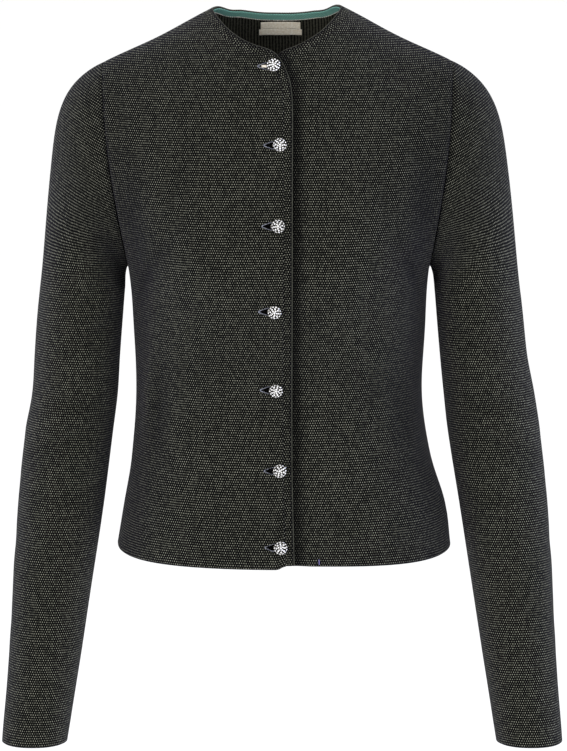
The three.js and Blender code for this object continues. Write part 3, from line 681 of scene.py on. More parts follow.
def node(tree, kind, settings=None, *inputs, out=0, stops=(), **sockets):
    """Adds a node and returns one of its outputs. settings holds its properties, or names its operation, and
    stops holds a colour ramp's positions and hex colours. Inputs come in order or by name, each a value,
    another node's output, or None to leave it."""
    made = tree.nodes.new(kind)
    for name, value in ({"operation": settings} if isinstance(settings, str) else settings or {}).items():
        setattr(made, name, value)
    for key, value in [*enumerate(inputs), *sockets.items()]:
        socket = made.inputs[key if isinstance(key, int) else key.replace("_", " ")]
        if isinstance(value, bpy.types.NodeSocket):
            tree.links.new(value, socket)
        elif value is not None:
            socket.default_value = value
    if stops:
        elements = made.color_ramp.elements
        for _ in stops[2:]:
            elements.new(0.5)
        for element, (position, code) in zip(elements, stops):
            element.position, element.color = position, srgb(code)
    return made.outputs[out] if made.outputs else None


def relief_value(tree):
    return node(tree, SPLIT, Vector=node(tree, UV_MAP, {"uv_map": "relief"}))


def cloth_axes(tree, wander):
    """The cloth's millimetres across and up, with a slight wander so that no row is ruled."""
    uv = node(tree, UV_MAP, {"uv_map": "cloth"})
    drift = node(tree, NOISE, FLAT, out="Color", Vector=uv, Scale=0.09, Detail=2.0)
    shifted = node(tree, VECTORS, "MULTIPLY_ADD", drift, (wander,) * 3, uv)
    return uv, node(tree, SPLIT, Vector=shifted), node(tree, SPLIT, Vector=shifted, out=1)


def finish(name, colour_of, roughness, sheen=0.0, specular=0.5, metallic=0.0, depth=0.2):
    """A material round one shader. colour_of adds its nodes and returns its colour and its height for bump."""
    material = bpy.data.materials.new(name)
    material.use_nodes = True
    tree = material.node_tree
    tree.nodes.clear()
    colour, height = colour_of(tree)
    raised = node(tree, "ShaderNodeBump", Distance=depth * MM, Height=height)
    shader = node(tree, "ShaderNodeBsdfPrincipled", Base_Color=colour, Normal=raised, Roughness=roughness,
                  Metallic=metallic, Specular_IOR_Level=specular, Sheen_Weight=sheen,
                  Sheen_Tint=srgb("#aeacc6"))
    node(tree, "ShaderNodeOutputMaterial", Surface=shader)
    return material


# Pitches in millimetres: of the stitches and rows, drawn coarser than real ones so that they show, of the
# ribs inside, of the tape's slanting ribs and of the ribbon's cross threads
MOSS = dict(across=2.2, up=2.3)
RIB, TWILL, SATIN = 3.0, 1.6, 1.3


def moss_knit(tree):
    """Moss stitch: fine purl bumps, staggered from row to row, with painted shade between them,
    no two equally bright.
    """
    uv, across, up = cloth_axes(tree, 0.8)
    rows = node(tree, MATH, "MULTIPLY", up, 1 / MOSS["up"])
    row_number = node(tree, MATH, "ROUND", rows)
    stitches_across = node(tree, MATH, "MULTIPLY", across, 1 / MOSS["across"])
    staggered = node(tree, MATH, "MULTIPLY_ADD", row_number, 0.5, stitches_across)
    column = node(tree, MATH, "COSINE", node(tree, MATH, "MULTIPLY", staggered, TAU))
    row = node(tree, MATH, "COSINE", node(tree, MATH, "MULTIPLY", rows, TAU))
    bump = node(tree, MATH, "MULTIPLY", node(tree, MATH, "MULTIPLY_ADD", row, 0.4, 0.6),
                node(tree, MATH, "MULTIPLY_ADD", column, 0.5, 0.5))
    stitch = node(tree, "ShaderNodeCombineXYZ", X=node(tree, MATH, "ROUND", staggered), Y=row_number)
    chance = node(tree, "ShaderNodeTexWhiteNoise", FLAT, Vector=stitch)
    fibre = node(tree, NOISE, FLAT, Vector=uv, Scale=0.62, Detail=3.0, Roughness=0.7)
    mottle = node(tree, NOISE, FLAT, Vector=uv, Scale=0.04)
    height = node(tree, MATH, "MULTIPLY_ADD", fibre, 0.15, bump)
    # Colour follows the bumps' height: painted shade between stitches, varied at random per stitch
    uneven = node(tree, MATH, "MULTIPLY", bump, node(tree, MATH, "MULTIPLY_ADD", chance, 0.3, 0.85))
    fuzzy = node(tree, MATH, "MULTIPLY_ADD", fibre, 0.12, node(tree, MATH, "ADD", uneven, -0.06))
    tone = node(tree, MATH, "MULTIPLY_ADD", mottle, 0.06, node(tree, MATH, "ADD", fuzzy, -0.03))
    colour = node(tree, RAMP, Fac=tone, stops=((0.12, "#020202"), (0.36, "#090a08"), (0.64, "#2f3029"),
                                               (1.0, "#8f9082")))
    # The colour is scaled by the relief layer: painted shade in folds, seams and under the upper front
    return node(tree, VECTORS, "SCALE", colour, Scale=relief_value(tree)), height


def rib_knit(tree):
    """The knit's inner face: fine upright ribs, with painted shade between them."""
    uv, across, _up = cloth_axes(tree, 0.8)
    ribs = node(tree, MATH, "COSINE", node(tree, MATH, "MULTIPLY", across, TAU / RIB))
    fibre = node(tree, NOISE, FLAT, Vector=uv, Scale=0.5, Detail=3.0)
    height = node(tree, MATH, "MULTIPLY_ADD", ribs, 0.34, fibre)
    return node(tree, RAMP, Fac=height, stops=((0.2, "#111110"), (0.85, "#46463d"))), height


def woven_tape(tree):
    """Twill tape: fine slanting ribs with a low lustre."""
    _uv, along, across = cloth_axes(tree, 0.2)
    slant = node(tree, MATH, "ADD", along, across)
    ribs = node(tree, MATH, "SINE", node(tree, MATH, "MULTIPLY", slant, TAU / TWILL))
    height = node(tree, MATH, "MULTIPLY_ADD", ribs, 0.5, 0.5)
    return node(tree, RAMP, Fac=height, stops=((0.0, "#336b62"), (1.0, "#84bfb2"))), height


def satin_ribbon(tree):
    """A smooth woven ribbon with faint cross threads."""
    uv, along, _across = cloth_axes(tree, 0.2)
    threads = node(tree, MATH, "SINE", node(tree, MATH, "MULTIPLY", along, TAU / SATIN))
    fibre = node(tree, NOISE, FLAT, Vector=uv, Scale=0.5)
    height = node(tree, MATH, "MULTIPLY_ADD", threads, 0.2, fibre)
    return node(tree, RAMP, Fac=height, stops=((0.2, "#e6d9c0"), (0.8, "#fffbee"))), height


def antique_silver(tree):
    """Silver plate, antiqued: bright where the relief is rubbed, near black in the hollows."""
    stain = node(tree, NOISE, Vector=node(tree, PLACE, out="Object"), Scale=700.0, Detail=3.0)
    rubbed = node(tree, MATH, "ADD", relief_value(tree), -0.25)
    tone = node(tree, MATH, "MULTIPLY_ADD", stain, 0.5, rubbed)
    return node(tree, RAMP, Fac=tone, stops=((0.3, "#040404"), (0.5, "#6c6962"), (0.75, "#ffffff"))), stain


def sewing_thread(light, dark):
    """Twisted thread, darker between its plies."""
    def build(tree):
        twist = node(tree, NOISE, Vector=node(tree, PLACE, out="Object"), Scale=1500.0, Detail=1.0)
        return node(tree, RAMP, Fac=twist, stops=((0.3, dark), (0.65, light))), twist
    return build


def paper(tree):
    """Matt white paper, with a tooth too fine to see."""
    tooth = node(tree, NOISE, Vector=node(tree, PLACE, out="Object"), Scale=400.0)
    return node(tree, RAMP, Fac=tooth, stops=((0.0, "#f8f8f8"), (1.0, "#ffffff"))), tooth


# Charcoal wool, fulled a little: matt, with a faint cool sheen from its fuzz where it turns away
KNIT = finish("charcoal wool moss stitch", moss_knit, 0.95, sheen=0.1, specular=0.03, depth=0.7)
RIBBED = finish("charcoal wool ribbed inside", rib_knit, 0.95, specular=0.1, depth=0.6)
# Viscose trimmings: smoother than the wool, so they keep some lustre
TAPING = finish("sea-green twill tape", woven_tape, 0.6, depth=0.2)
LABELLING = finish("cream satin label", satin_ribbon, 0.45, sheen=0.2, depth=0.12)
# Cast zinc with antiqued silver plate: small sharp lights on the rubbed relief
SILVER = finish("antiqued silver plate", antique_silver, 0.3, metallic=0.9, depth=0.05)
HOLE_THREAD = finish("grey-blue buttonhole silk", sewing_thread("#8d91a0", "#4c4f5a"), 0.6, sheen=0.2)
EDGE_THREAD = finish("pale sewing cotton", sewing_thread("#e9e4dd", "#a9a39b"), 0.7)
SHANK_THREAD = finish("cream shank thread", sewing_thread("#fbf7ee", "#c9bfae"), 0.7)
LOOSE_THREAD = finish("lavender loose thread", sewing_thread("#8f89c4", "#4c4780"), 0.7)
PAPER = finish("white paper sweep", paper, 0.9, specular=0.1, depth=0.1)


# ---- Pieces ----


def finish_cloth(piece, node_name, with_pieces=()):
    dress(piece)
    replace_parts(piece, node_name)


def dress(piece):
    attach(piece, "root")
    return piece


def cut_size(cloth_mm, points):
    """The width, length and area of a piece's cut, in metres and square metres."""
    width, length = np.ptp(cloth_mm.reshape(-1, 2), axis=0) * MM
    a, b = np.diff(points[:-1], axis=1), np.diff(points[:, :-1], axis=0)
    area = np.linalg.norm(np.cross(a, b), axis=-1).sum() * MM * MM
    return (width, length), min(area, width * length)


# Painted shade where the body turns in under the arms: the turn where it starts and is full, how deep it is,
# and how much of it is left above the arms
SIDE_SHADE = {
    WEARERS_RIGHT: dict(start=0.65, full=1.1, depth=0.21, above=0.4),
    WEARERS_LEFT: dict(start=0.35, full=1.0, depth=0.25, above=0.8),
}
ABOVE_ARM = dict(low=-170, high=-90)


def side_shade(turn, z):
    """How much painted shade darkens the wool where the body turns in under the arms, and less above them."""
    darker = 0
    for side, shade in SIDE_SHADE.items():
        reach = smoothstep(turn * side, shade["start"], shade["full"])
        fade = (1 - shade["above"]) * smoothstep(z, ABOVE_ARM["low"], ABOVE_ARM["high"])
        darker += shade["depth"] * reach * (1 - fade)
    return 1 - darker


# How much painted shade each millimetre of a trough or a seam's roll lays on the wool, and within which bounds
FOLD_SHADE, SEAM_SHADE = dict(body=0.2, sleeve=0.08), 0.3
RELIEF = dict(least=0.3, most=1.3)
BODY_TONE = 1.1
HEM_ROUND = 0.6  # how far a hem or a cuff is rounded outwards


def knit_wall(name, grid, cloth_mm, creases, sunk, tone, fold_shade, shade=1.0, waves=1.0, **shell):
    """A wall of knit with its folds and seam rolls, with painted shade in the deep, and the size and area of
    its cut.
    """
    points, normals = grid
    fold, roll = folds(cloth_mm, creases), sunk_edges(points, **sunk)
    lift = (fold + unevenness(cloth_mm) * waves) * held_at(points, sunk) - roll
    relief = np.clip(tone + fold_shade * fold - SEAM_SHADE * roll, RELIEF["least"], RELIEF["most"]) * shade
    cloth = np.concatenate([cloth_mm, relief[..., None]], axis=-1)
    piece = cloth_shell(name, points + normals * lift[..., None], normals, cloth, [KNIT, RIBBED], **shell)
    return piece, *cut_size(cloth_mm, points)


def body_panel(name, face, turn, level, grid, creases, sunk, shade=1.0):
    """One knitted panel of the body, rounded at the hem."""
    shade = shade * side_shade(turn, grid[0][..., 2])
    return knit_wall(name, grid, knit_coordinates(face, turn, level), creases, sunk, BODY_TONE,
                     FOLD_SHADE["body"], shade, bulge=dict(bottom=HEM_ROUND))


def button_frame(x, z):
    """A button's place on the front, and the axes across, up the cloth and out of it, in millimetres."""
    turn, level = locate(FRONT, np.array(x), np.array(z))
    place, normal = body_point(FRONT, turn, level), body_slopes(FRONT, turn, level)[2]
    across = unit(np.array([1.0, 0, 0]) - normal * normal[0])
    return place, np.stack([across, np.cross(normal, across), normal], axis=1)


def hole_outline(grow=0.0, steps=14):
    """The stretched buttonhole as an outline round its button's place, anticlockwise, with the way out."""
    first, last = BUTTONHOLE["x"][0], BUTTONHOLE["x"][-1]
    x = first + (last - first) * (1 - np.cos(np.linspace(0, math.pi, steps))) / 2
    half = read(BUTTONHOLE, "x", x, "half")
    outline = np.concatenate([np.stack([x, -half], axis=-1), np.stack([x, half], axis=-1)[::-1]])
    tangent = np.roll(outline, -1, axis=0) - np.roll(outline, 1, axis=0)
    outward = unit(np.stack([tangent[:, 1], -tangent[:, 0]], axis=-1))
    return outline + outward * grow, outward


HOLE_CUT = 6.0  # how far to each side of the cloth a buttonhole is cut


def hole_cutters(which):
    pieces = []
    for i in which:
        place, axes = button_frame(BUTTONS["x"][i], BUTTONS["z"][i])
        outline = hole_outline()[0]
        local = [np.column_stack([outline, np.full(len(outline), depth)]) for depth in (-HOLE_CUT, HOLE_CUT)]
        rings = np.array([place + ring @ axes.T for ring in local])
        pieces.append(loft(f"cutter_{i}", rings, []))
    return joined("buttonhole_cutter", pieces)


STITCH_VARIES = dict(least=0.88, most=1.12, seed=3)


def stitches(name, places, ways, ups, length, width, material):
    """Short rounded stitches laid at places (millimetres), each along its way, made by Geometry Nodes."""
    mesh = bpy.data.meshes.new(name)
    mesh.from_pydata((np.asarray(places) * MM).tolist(), [], [])
    turns = []
    for way, up in zip(unit(np.asarray(ways)), np.asarray(ups)):
        side = unit(np.cross(up, way))
        turns.append(Matrix(np.stack([way, side, np.cross(way, side)], axis=1).tolist()).to_euler()[:])
    lay = mesh.attributes.new("lay", "FLOAT_VECTOR", "POINT")
    lay.data.foreach_set("vector", np.array(turns, np.float32).ravel())
    piece = bpy.data.objects.new(name, mesh)
    bpy.context.collection.objects.link(piece)
    tree = bpy.data.node_groups.new("laid stitches", "GeometryNodeTree")
    sizes = {"Length": length, "Width": width}
    tree.interface.new_socket("Geometry", in_out="INPUT", socket_type="NodeSocketGeometry")
    tree.interface.new_socket("Geometry", in_out="OUTPUT", socket_type="NodeSocketGeometry")
    for label in sizes:
        tree.interface.new_socket(label, in_out="INPUT", socket_type="NodeSocketFloat")
    given = tree.nodes.new("NodeGroupInput").outputs
    lump = node(tree, "GeometryNodeMeshUVSphere", Segments=8, Rings=6, Radius=0.5)
    turn = node(tree, "GeometryNodeInputNamedAttribute", {"data_type": "FLOAT_VECTOR"}, Name="lay",
                out="Attribute")
    size = node(tree, "ShaderNodeCombineXYZ", X=given["Length"], Y=given["Width"], Z=given["Width"])
    vary = node(tree, "FunctionNodeRandomValue", {"data_type": "FLOAT"}, None, None, STITCH_VARIES["least"],
                STITCH_VARIES["most"], Seed=STITCH_VARIES["seed"], out=1)
    scaled = node(tree, VECTORS, "SCALE", size, Scale=vary)
    turned = node(tree, "FunctionNodeEulerToRotation", Euler=turn)
    laid = node(tree, "GeometryNodeInstanceOnPoints", Points=given["Geometry"], Instance=lump,
                Rotation=turned, Scale=scaled)
    real = node(tree, "GeometryNodeRealizeInstances", Geometry=laid)
    smooth = node(tree, "GeometryNodeSetShadeSmooth", Geometry=real)
    faced = node(tree, "GeometryNodeSetMaterial", Geometry=smooth, Material=material)
    node(tree, "NodeGroupOutput", Geometry=faced)
    modifier = piece.modifiers.new("stitches", "NODES")
    modifier.node_group = tree
    for item in tree.interface.items_tree:
        if item.name in sizes:
            modifier[item.identifier] = sizes[item.name] * MM
    apply_modifiers(piece)
    return piece


HOLE_STITCH = dict(out=0.3, proud=0.1, count=26, long=1.0, wide=0.7)


def buttonhole_stitches():
    """Satin stitches across the edge of each buttonhole."""
    places, ways, ups = [], [], []
    outline, outward = hole_outline(HOLE_STITCH["out"], steps=HOLE_STITCH["count"])
    for x, z in zip(BUTTONS["x"], BUTTONS["z"]):
        place, axes = button_frame(x, z)
        for point, way in zip(outline, outward):
            places.append(place + axes @ np.array([*point, HOLE_STITCH["proud"]]))
            ways.append(axes @ np.array([*way, 0.0]))
            ups.append(axes[:, 2])
    return stitches("buttonhole_stitching", places, ways, ups, HOLE_STITCH["long"], HOLE_STITCH["wide"],
                    HOLE_THREAD)


# How far past the upper front's edge its painted shadow is deepest and ends, and where the wool passes
# under it, which is painted darker
FOLD_DARK = dict(depth=0.74, deep=2.5, reach=15, under=0.2, over_from=-2, over_to=1)


def underlap_shade(points):
    """How dark the lower front lies: a painted shadow in the fold beside the upper one, and painted shade,
    darkest, behind it.
    """
    edge = front_edge_x(WEARERS_RIGHT, locate(FRONT, points[..., 0], points[..., 2])[1])
    beside = points[..., 0] - edge
    fold = FOLD_DARK["depth"] * (1 - smoothstep(beside, FOLD_DARK["deep"], FOLD_DARK["reach"]))
    under = FOLD_DARK["under"] * (1 - smoothstep(beside, FOLD_DARK["over_from"], FOLD_DARK["over_to"]))
    return 1 - fold - under


# How deep each edge of a panel sinks into its seam
FRONT_SUNK = dict(start=0.1, end=0.8, top=0.6)
BACK_SUNK = dict(start=1.2, end=1.2, top=0.5)
SLEEVE_SUNK = dict(bottom=1.0)


def build_fronts():
    made = {}
    for side, name in ((WEARERS_RIGHT, "right_front"), (WEARERS_LEFT, "left_front")):
        turn, level = front_grid(side)
        grid = front_patch(side, turn, level)
        shade = 1.0 if side == WEARERS_RIGHT else underlap_shade(grid[0])
        made[name] = body_panel(f"{name}_knit", FRONT, turn, level, grid, FRONT_FOLDS, FRONT_SUNK, shade)
    cut_away(made["right_front"][0], hole_cutters(range(len(BUTTONS["x"]))))
    sewing = dress(buttonhole_stitches())
    place, normal = front_patch(WEARERS_LEFT, *locate(FRONT, LOOSE["x"], LOOSE["z"]))
    loose = stitches("loose_thread", [place + normal * LOOSE["proud"]], [LOOSE["way"]], [normal],
                     LOOSE["long"], LOOSE["wide"], LOOSE_THREAD)
    for name, extra in (("right_front", sewing), ("left_front", dress(loose))):
        piece, size, area = made[name]
        finish_cloth(piece, name, with_pieces=[extra])


# A short end of thread that hangs on the wearer's left front, just above the hem
LOOSE = dict(x=37.3, z=-513, proud=0.5, way=(-0.05, 0, 1), long=5.5, wide=0.8)


def build_back():
    turn, level = back_grid()
    grid = back_patch(turn, level)
    piece, size, area = body_panel("back_knit", BACK, turn, level, grid, BACK_FOLDS, BACK_SUNK)
    finish_cloth(piece, "back")


# Painted light and shade on the sleeves: how light the arm, the head and the inner side are painted
SLEEVE_PAINTED_LIGHT = {
    WEARERS_RIGHT: dict(arm=1.12, head=1.1, inner=0.14),
    WEARERS_LEFT: dict(arm=1.16, head=0.98, inner=-0.12),
}
HEAD_LIGHT_Z = dict(low=-230, high=-130)
INNER_LIGHT = dict(start=0.55, full=0.85)  # by share of the way from the top line to the underarm seam
CALM = 90  # the sleeve's waviness runs out by this times a quarter turn, across from its top line


def sleeve_painted_light(side, across, z):
    """How light a sleeve's wool is painted, as light and shade: along the arm, in its head, and on
    its inner side.
    """
    tone = SLEEVE_PAINTED_LIGHT[side]
    inward = np.abs(across) / np.abs(across).max(axis=1, keepdims=True)
    head = (tone["head"] - tone["arm"]) * smoothstep(z, HEAD_LIGHT_Z["low"], HEAD_LIGHT_Z["high"])
    return tone["arm"] + head + tone["inner"] * smoothstep(inward, INNER_LIGHT["start"], INNER_LIGHT["full"])


def build_sleeves():
    for side, name in ((WEARERS_RIGHT, "right_sleeve"), (WEARERS_LEFT, "left_sleeve")):
        grid = sleeve_grid(side)
        cloth_mm = sleeve_coordinates(side, grid[0])
        across = cloth_mm[..., 0]
        tone = sleeve_painted_light(side, across, grid[0][..., 2])
        piece, (_width, length), area = knit_wall(
            f"{name}_knit", grid, cloth_mm, SLEEVE_FOLDS, SLEEVE_SUNK, tone, FOLD_SHADE["sleeve"],
            waves=np.cos(across / CALM), wrap=True, bulge=dict(top=HEM_ROUND))
        finish_cloth(piece, name)


# A band's profile: the bead in steps of degrees, with its twist and the stretch of it that carries a painted
# highlight, the rest in painted shade, the crease behind it, painted darker, then the flat with its ridges,
# the join to the panel, a touch darker as painted shade, and the inner side in painted shade
BEAD = dict(turn=150, step=25, twist=0.1, lit_from=-50, lit_to=75, lit=0.85, unlit=0.6)
BEAD_HIGHLIGHT_BREAKS = dict(amount=0.25, beat=9, other_beat=3.7)
CREASE = dict(inset=2.3, height=-0.5, relief=0.35)
BAND_FLAT = dict(start=2.8, rows=12, pitch=2.3, ridge=0.15, sunk=0.2, relief=1.0, join_relief=0.95)
BAND_INSIDE = dict(insets=(BAND["width"], 5.5, 3.0), relief=0.4)


def band_mesh(name, face, edge, patch, shade=None):
    """A band's profile carried along its edge. shade gives how dark it lies at its points, as painted shade.
    """
    bead, middle, along = BAND["bead"], -CLOTH / 2, edge["along"]
    phase = TAU * along / BAND_FLAT["pitch"]
    # The painted highlight on the bead breaks up along it
    highlight_breaks = np.sin(along / BEAD_HIGHLIGHT_BREAKS["beat"]) * np.sin(along / BEAD_HIGHLIGHT_BREAKS["other_beat"] + 1)
    lit_relief = BEAD["lit"] * (1 + BEAD_HIGHLIGHT_BREAKS["amount"] * highlight_breaks)
    rings, cloth = [], []

    def add(inset, height, relief, across=None, plain=False):
        points, normal = patch(*(walk(face, edge, inset) if inset > 0 else (edge["turn"], edge["level"])))
        rings.append(points + normal * (height * np.ones(len(phase)))[:, None])
        across = np.full(len(phase), inset if across is None else across)
        relief = relief * (np.ones(len(phase)) if shade is None else shade(points))
        cloth.append(np.stack([across, along * (not plain), relief], axis=-1))

    for degrees in range(-BEAD["turn"], BEAD["turn"] + 1, BEAD["step"]):
        angle = math.radians(degrees)
        swell = bead * (1 + BEAD["twist"] * np.cos(phase + angle))
        inset, height = max(bead - swell.mean() * math.cos(angle), 0), middle + swell * math.sin(angle)
        # The stretch that catches the light is drawn plain at the stitches' brightest: a painted highlight
        if BEAD["lit_from"] <= degrees <= BEAD["lit_to"]:
            add(inset, height, lit_relief, 0, plain=True)
        else:
            add(inset, height, BEAD["unlit"], 2 - bead * angle)
    add(**CREASE)
    for inset in np.linspace(BAND_FLAT["start"], BAND["width"], BAND_FLAT["rows"]):
        add(inset, BAND_FLAT["ridge"] * np.cos(phase) - BAND_FLAT["sunk"], BAND_FLAT["relief"])
    add(BAND["width"] + SEAM_GAP, -BAND_FLAT["sunk"], BAND_FLAT["join_relief"])
    for inset in BAND_INSIDE["insets"]:
        add(inset, -CLOTH, BAND_INSIDE["relief"])
    return loft(name, np.stack(rings, axis=1), [KNIT], np.stack(cloth, axis=1))


def build_bands():
    def finish_band(piece, node_name):
        finish_cloth(piece, node_name)

    for side, which in ((WEARERS_RIGHT, "right"), (WEARERS_LEFT, "left")):
        edge = front_stations(side, even_distances)
        shade = underlap_shade if side == WEARERS_LEFT else None
        piece = band_mesh(f"{which}_band_knit", FRONT, edge,
                          lambda turn, level: front_patch(side, turn, level), shade)
        if side == WEARERS_RIGHT:
            cut_away(piece, hole_cutters([0]))
        finish_band(piece, f"{which}_band")
    edge = back_stations(even_distances)
    finish_band(band_mesh("back_band_knit", BACK, edge, back_patch), "back_band")


TAPE_STITCH = dict(inset=0.4, long=1.9, wide=0.8, every=slice(2, -2, 2))


def build_tape():
    edge = back_stations(lambda total: np.linspace(0, total, TAPE_GRID["along"] + 1))
    along, top = edge["along"], -CLOTH - TAPE["under"]
    insets = np.linspace(TAPE["start"], TAPE["start"] + TAPE["width"], TAPE_GRID["across"] + 1)
    outline = [(inset, top - TAPE["thick"]) for inset in insets] + [(inset, top) for inset in insets[::-1]]
    rings, cloth = [], []
    for inset, height in outline:
        points, normal = back_patch(*walk(BACK, edge, inset))
        rings.append(points + normal * height)
        cloth.append(np.stack([along, 0 * along + inset, 0 * along + 1], axis=-1))
    rings = np.stack(rings, axis=1)
    piece = loft("neck_tape_woven", rings, [TAPING], np.stack(cloth, axis=1))
    every, last = TAPE_STITCH["every"], len(insets) - 1
    across = unit(rings[every, last] - rings[every, last - 1])
    ways = unit(np.gradient(rings[:, last], axis=0))[every]
    sewing = stitches("tape_stitching", rings[every, last] - across * TAPE_STITCH["inset"], ways,
                      np.cross(ways, across), TAPE_STITCH["long"], TAPE_STITCH["wide"], EDGE_THREAD)
    finish_cloth(piece, "neck_tape",
                 with_pieces=[dress(sewing)])


LABEL_CURL = dict(ends=0.5, waves=0.25, across=9)


def build_labels():
    across, down = np.meshgrid(np.linspace(-0.5, 0.5, LABEL_GRID["across"] + 1),
                               np.linspace(1, 0, LABEL_GRID["down"] + 1))
    ends = LABEL_CURL["ends"] * np.abs(2 * across) ** 4
    curl = ends + LABEL_CURL["waves"] * down * np.cos(across * LABEL_CURL["across"])
    for i, name in enumerate(("label_upper", "label_lower")):
        width, top, height = (LABELS[column][i] for column in ("width", "top", "height"))
        points, normal = back_patch(*locate(BACK, LABEL["x"] + width * across, top - height * down))
        outer = points - normal * (CLOTH + LABEL["under"] + curl)[..., None]
        cloth = np.stack([width * across, -height * down, 0 * down + 1], axis=-1)
        piece = cloth_shell(f"{name}_satin", outer, normal, cloth, [LABELLING, LABELLING],
                            thickness=LABEL["thick"])
        finish_cloth(piece, name)


# The button's relief over its domed face: where each ring of ornament lies, by share of the radius, how wide
# and how high it is, and into how many lobes it is parted and how deeply
ORNAMENT = table(
    "place wide high lobes depth",
    (0.87, 0.09, 1.2, 13, 0.8), (0.6, 0.12, 1.2, 8, 0.9), (0.33, 0.11, 1.3, 5, 0.8), (0, 0.14, 1.7, 0, 0),
)
PARTING = dict(turn=9, soft=1.5)  # how the rings' lobes are turned to each other, and how wide their gaps are
DOME = dict(rim=0.2, rise=0.35)  # by share of the solid's dome, whose top the ornament reaches
RUBBED = 0.65  # how high the relief is where the plate is rubbed brightest
FACE = dict(start=0.02, end=0.99)
SHANK_SHARE = BUTTON["shank"] / BUTTON["radius"]
BUTTON_UNDER = table("share height", (1.0, 0.9), (0.99, 0.4), (0.9, 0.1), (SHANK_SHARE, 0.0))
UNDER_RELIEF = 0.6


def button_face(share, angle):
    """The height of the button's face, and how far it is raised from the hollows, from 0 to 1."""
    raised = np.zeros(share.shape)
    for place, wide, high, lobes, depth in zip(*ORNAMENT.values()):
        ridge = high * np.exp(-(((share - place) / wide) ** 2))
        parted = (0.5 + 0.5 * np.cos(lobes * angle + PARTING["turn"] * place)) ** PARTING["soft"]
        raised = np.maximum(raised, ridge * (1 - depth + depth * parted))
    dome = BUTTON["dome"] * (DOME["rim"] + DOME["rise"] * (1 - share**2))
    return dome + raised, np.clip(raised / RUBBED, 0, 1)


def button_mesh(name, i):
    radius = BUTTON["radius"]
    angle = np.linspace(0, TAU, BUTTON_STEPS, endpoint=False)
    shares, angles = np.meshgrid(np.linspace(FACE["start"], FACE["end"], BUTTON_RINGS), angle, indexing="ij")
    height, relief = button_face(shares, angles + BUTTONS["turned"][i])
    foot = -(UNDERLAP["drop"] - 2 * SEAM_GAP) - BUTTON["standoff"]
    under_share = np.append(BUTTON_UNDER["share"], SHANK_SHARE)
    under_height = np.append(BUTTON_UNDER["height"], foot)
    even = np.ones(BUTTON_STEPS)
    shares = np.concatenate([shares, np.outer(under_share, even)])
    height = np.concatenate([height, np.outer(under_height, even)])
    relief = np.concatenate([relief, UNDER_RELIEF * np.outer(np.ones(len(under_share)), even)])
    face = np.stack([radius * shares * np.cos(angle), radius * shares * np.sin(angle), height], axis=-1)
    place, axes = button_frame(BUTTONS["x"][i], BUTTONS["z"][i])
    sideways, up = math.radians(BUTTONS["sideways"][i]), math.radians(-BUTTONS["up"][i])
    tilt = np.array(Matrix.Rotation(up, 3, "X") @ Matrix.Rotation(sideways, 3, "Y"))
    local = face @ tilt.T + np.array([0, 0, BUTTON["standoff"]])
    cloth = np.stack([face[..., 0], face[..., 1], relief], axis=-1)
    return loft(name, place + local @ axes.T, [SILVER], cloth)


SHANK_SEWING = dict(first_long=9.6, long=4.5, wide=0.95, apart=0.8, below=0.3, beside=1)


def shank_sewing(i):
    """The threads that hold a button's shank, which show in its hole beside the head."""
    place, axes = button_frame(BUTTONS["x"][i], BUTTONS["z"][i])
    long = SHANK_SEWING["first_long" if i == 0 else "long"]
    beside = -BUTTON["shank"] - SHANK_SEWING["beside"] - long / 2
    places = [place + axes @ np.array([beside, row * SHANK_SEWING["apart"], -SHANK_SEWING["below"]])
              for row in (-1, 0, 1)]
    return stitches(f"button_{i + 1}_sewing", places, [axes[:, 0]] * 3, [axes[:, 2]] * 3, long,
                    SHANK_SEWING["wide"], SHANK_THREAD)


def build_buttons():
    for i in range(len(BUTTONS["x"])):
        piece = button_mesh(f"button_{i + 1}_openwork", i)
        dress(shank_sewing(i))
        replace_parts(dress(piece), f"button_{i + 1}")


# ---- Floor, light and camera ----

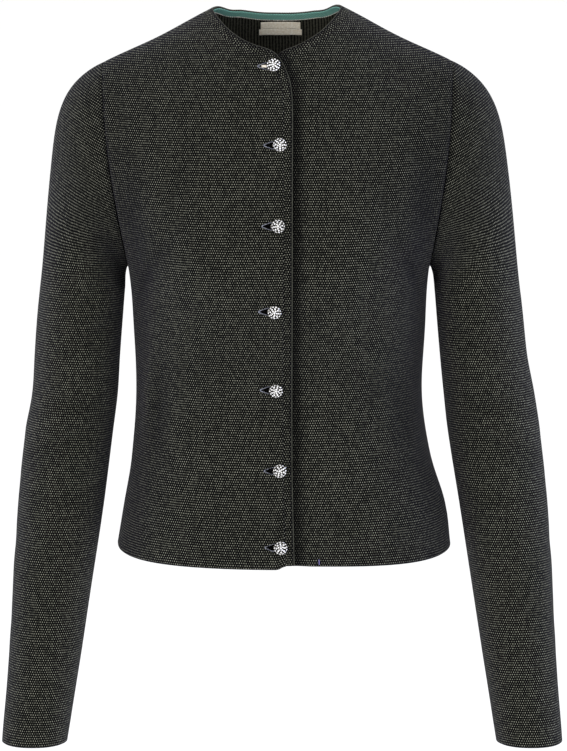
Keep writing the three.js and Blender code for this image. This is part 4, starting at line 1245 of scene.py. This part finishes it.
CAMERA = dict(distance=4300, lowered=9.7, x=3.8, z=-352, mm_per_pixel=0.96, film=36, sees=300)
PICTURE_LONG_SIDE = 751
FLOOR = dict(z=-1.25, size=90)
WORLD_STRENGTH = 1.05
LIGHTS = dict(
    key=dict(at=(-1.5, -2.6, 0.2), size=1.2, power=28, colour="#fffaf2"),
    fill=dict(at=(2.4, -1.9, 0.0), size=1.4, power=17, colour="#f2f5ff"),
    rim_left=dict(at=(-2.2, 0.5, 0.0), size=1.0, power=13, colour="#c4d0ff"),
    rim_right=dict(at=(2.2, 0.2, -0.2), size=1.0, power=18, colour="#c4d0ff"),
)


def build_camera():
    tilt = math.radians(CAMERA["lowered"])
    data = bpy.data.cameras.new("camera")
    data.sensor_width = CAMERA["film"]
    data.lens = CAMERA["distance"] / CAMERA["mm_per_pixel"] * data.sensor_width / PICTURE_LONG_SIDE
    data.clip_end = CAMERA["sees"]
    camera = bpy.data.objects.new("camera", data)
    bpy.context.collection.objects.link(camera)
    back, up = CAMERA["distance"] * math.cos(tilt), CAMERA["distance"] * math.sin(tilt)
    camera.location = (CAMERA["x"] * MM, -back * MM, (CAMERA["z"] + up) * MM)
    camera.rotation_euler = (math.pi / 2 - tilt, 0, 0)
    bpy.context.scene.camera = camera


def build_lights():
    middle = Vector((0, 0, CAMERA["z"] * MM))
    for name, lamp in LIGHTS.items():
        data = bpy.data.lights.new(name, "AREA")
        data.shape, data.size, data.energy = "DISK", lamp["size"], lamp["power"]
        data.color = srgb(lamp["colour"])[:3]
        light = bpy.data.objects.new(name, data)
        bpy.context.collection.objects.link(light)
        light.location = lamp["at"]
        light.rotation_euler = (middle - light.location).to_track_quat("-Z", "Y").to_euler()


def build_floor():
    world = bpy.data.worlds.new("studio")
    bpy.context.scene.world = world
    world.use_nodes = True
    background = world.node_tree.nodes["Background"]
    background.inputs["Strength"].default_value = WORLD_STRENGTH
    background.inputs["Color"].default_value = srgb("#ffffff")
    bpy.ops.mesh.primitive_plane_add(size=FLOOR["size"], location=(0, 0, FLOOR["z"]))
    floor = bpy.context.object
    floor.name = "floor"
    floor.data.materials.append(PAPER)
    bpy.context.scene.view_settings.view_transform = "Standard"


build_camera()
build_lights()
build_floor()
build_fronts()
build_back()
build_sleeves()
build_bands()
build_tape()
build_labels()
build_buttons()
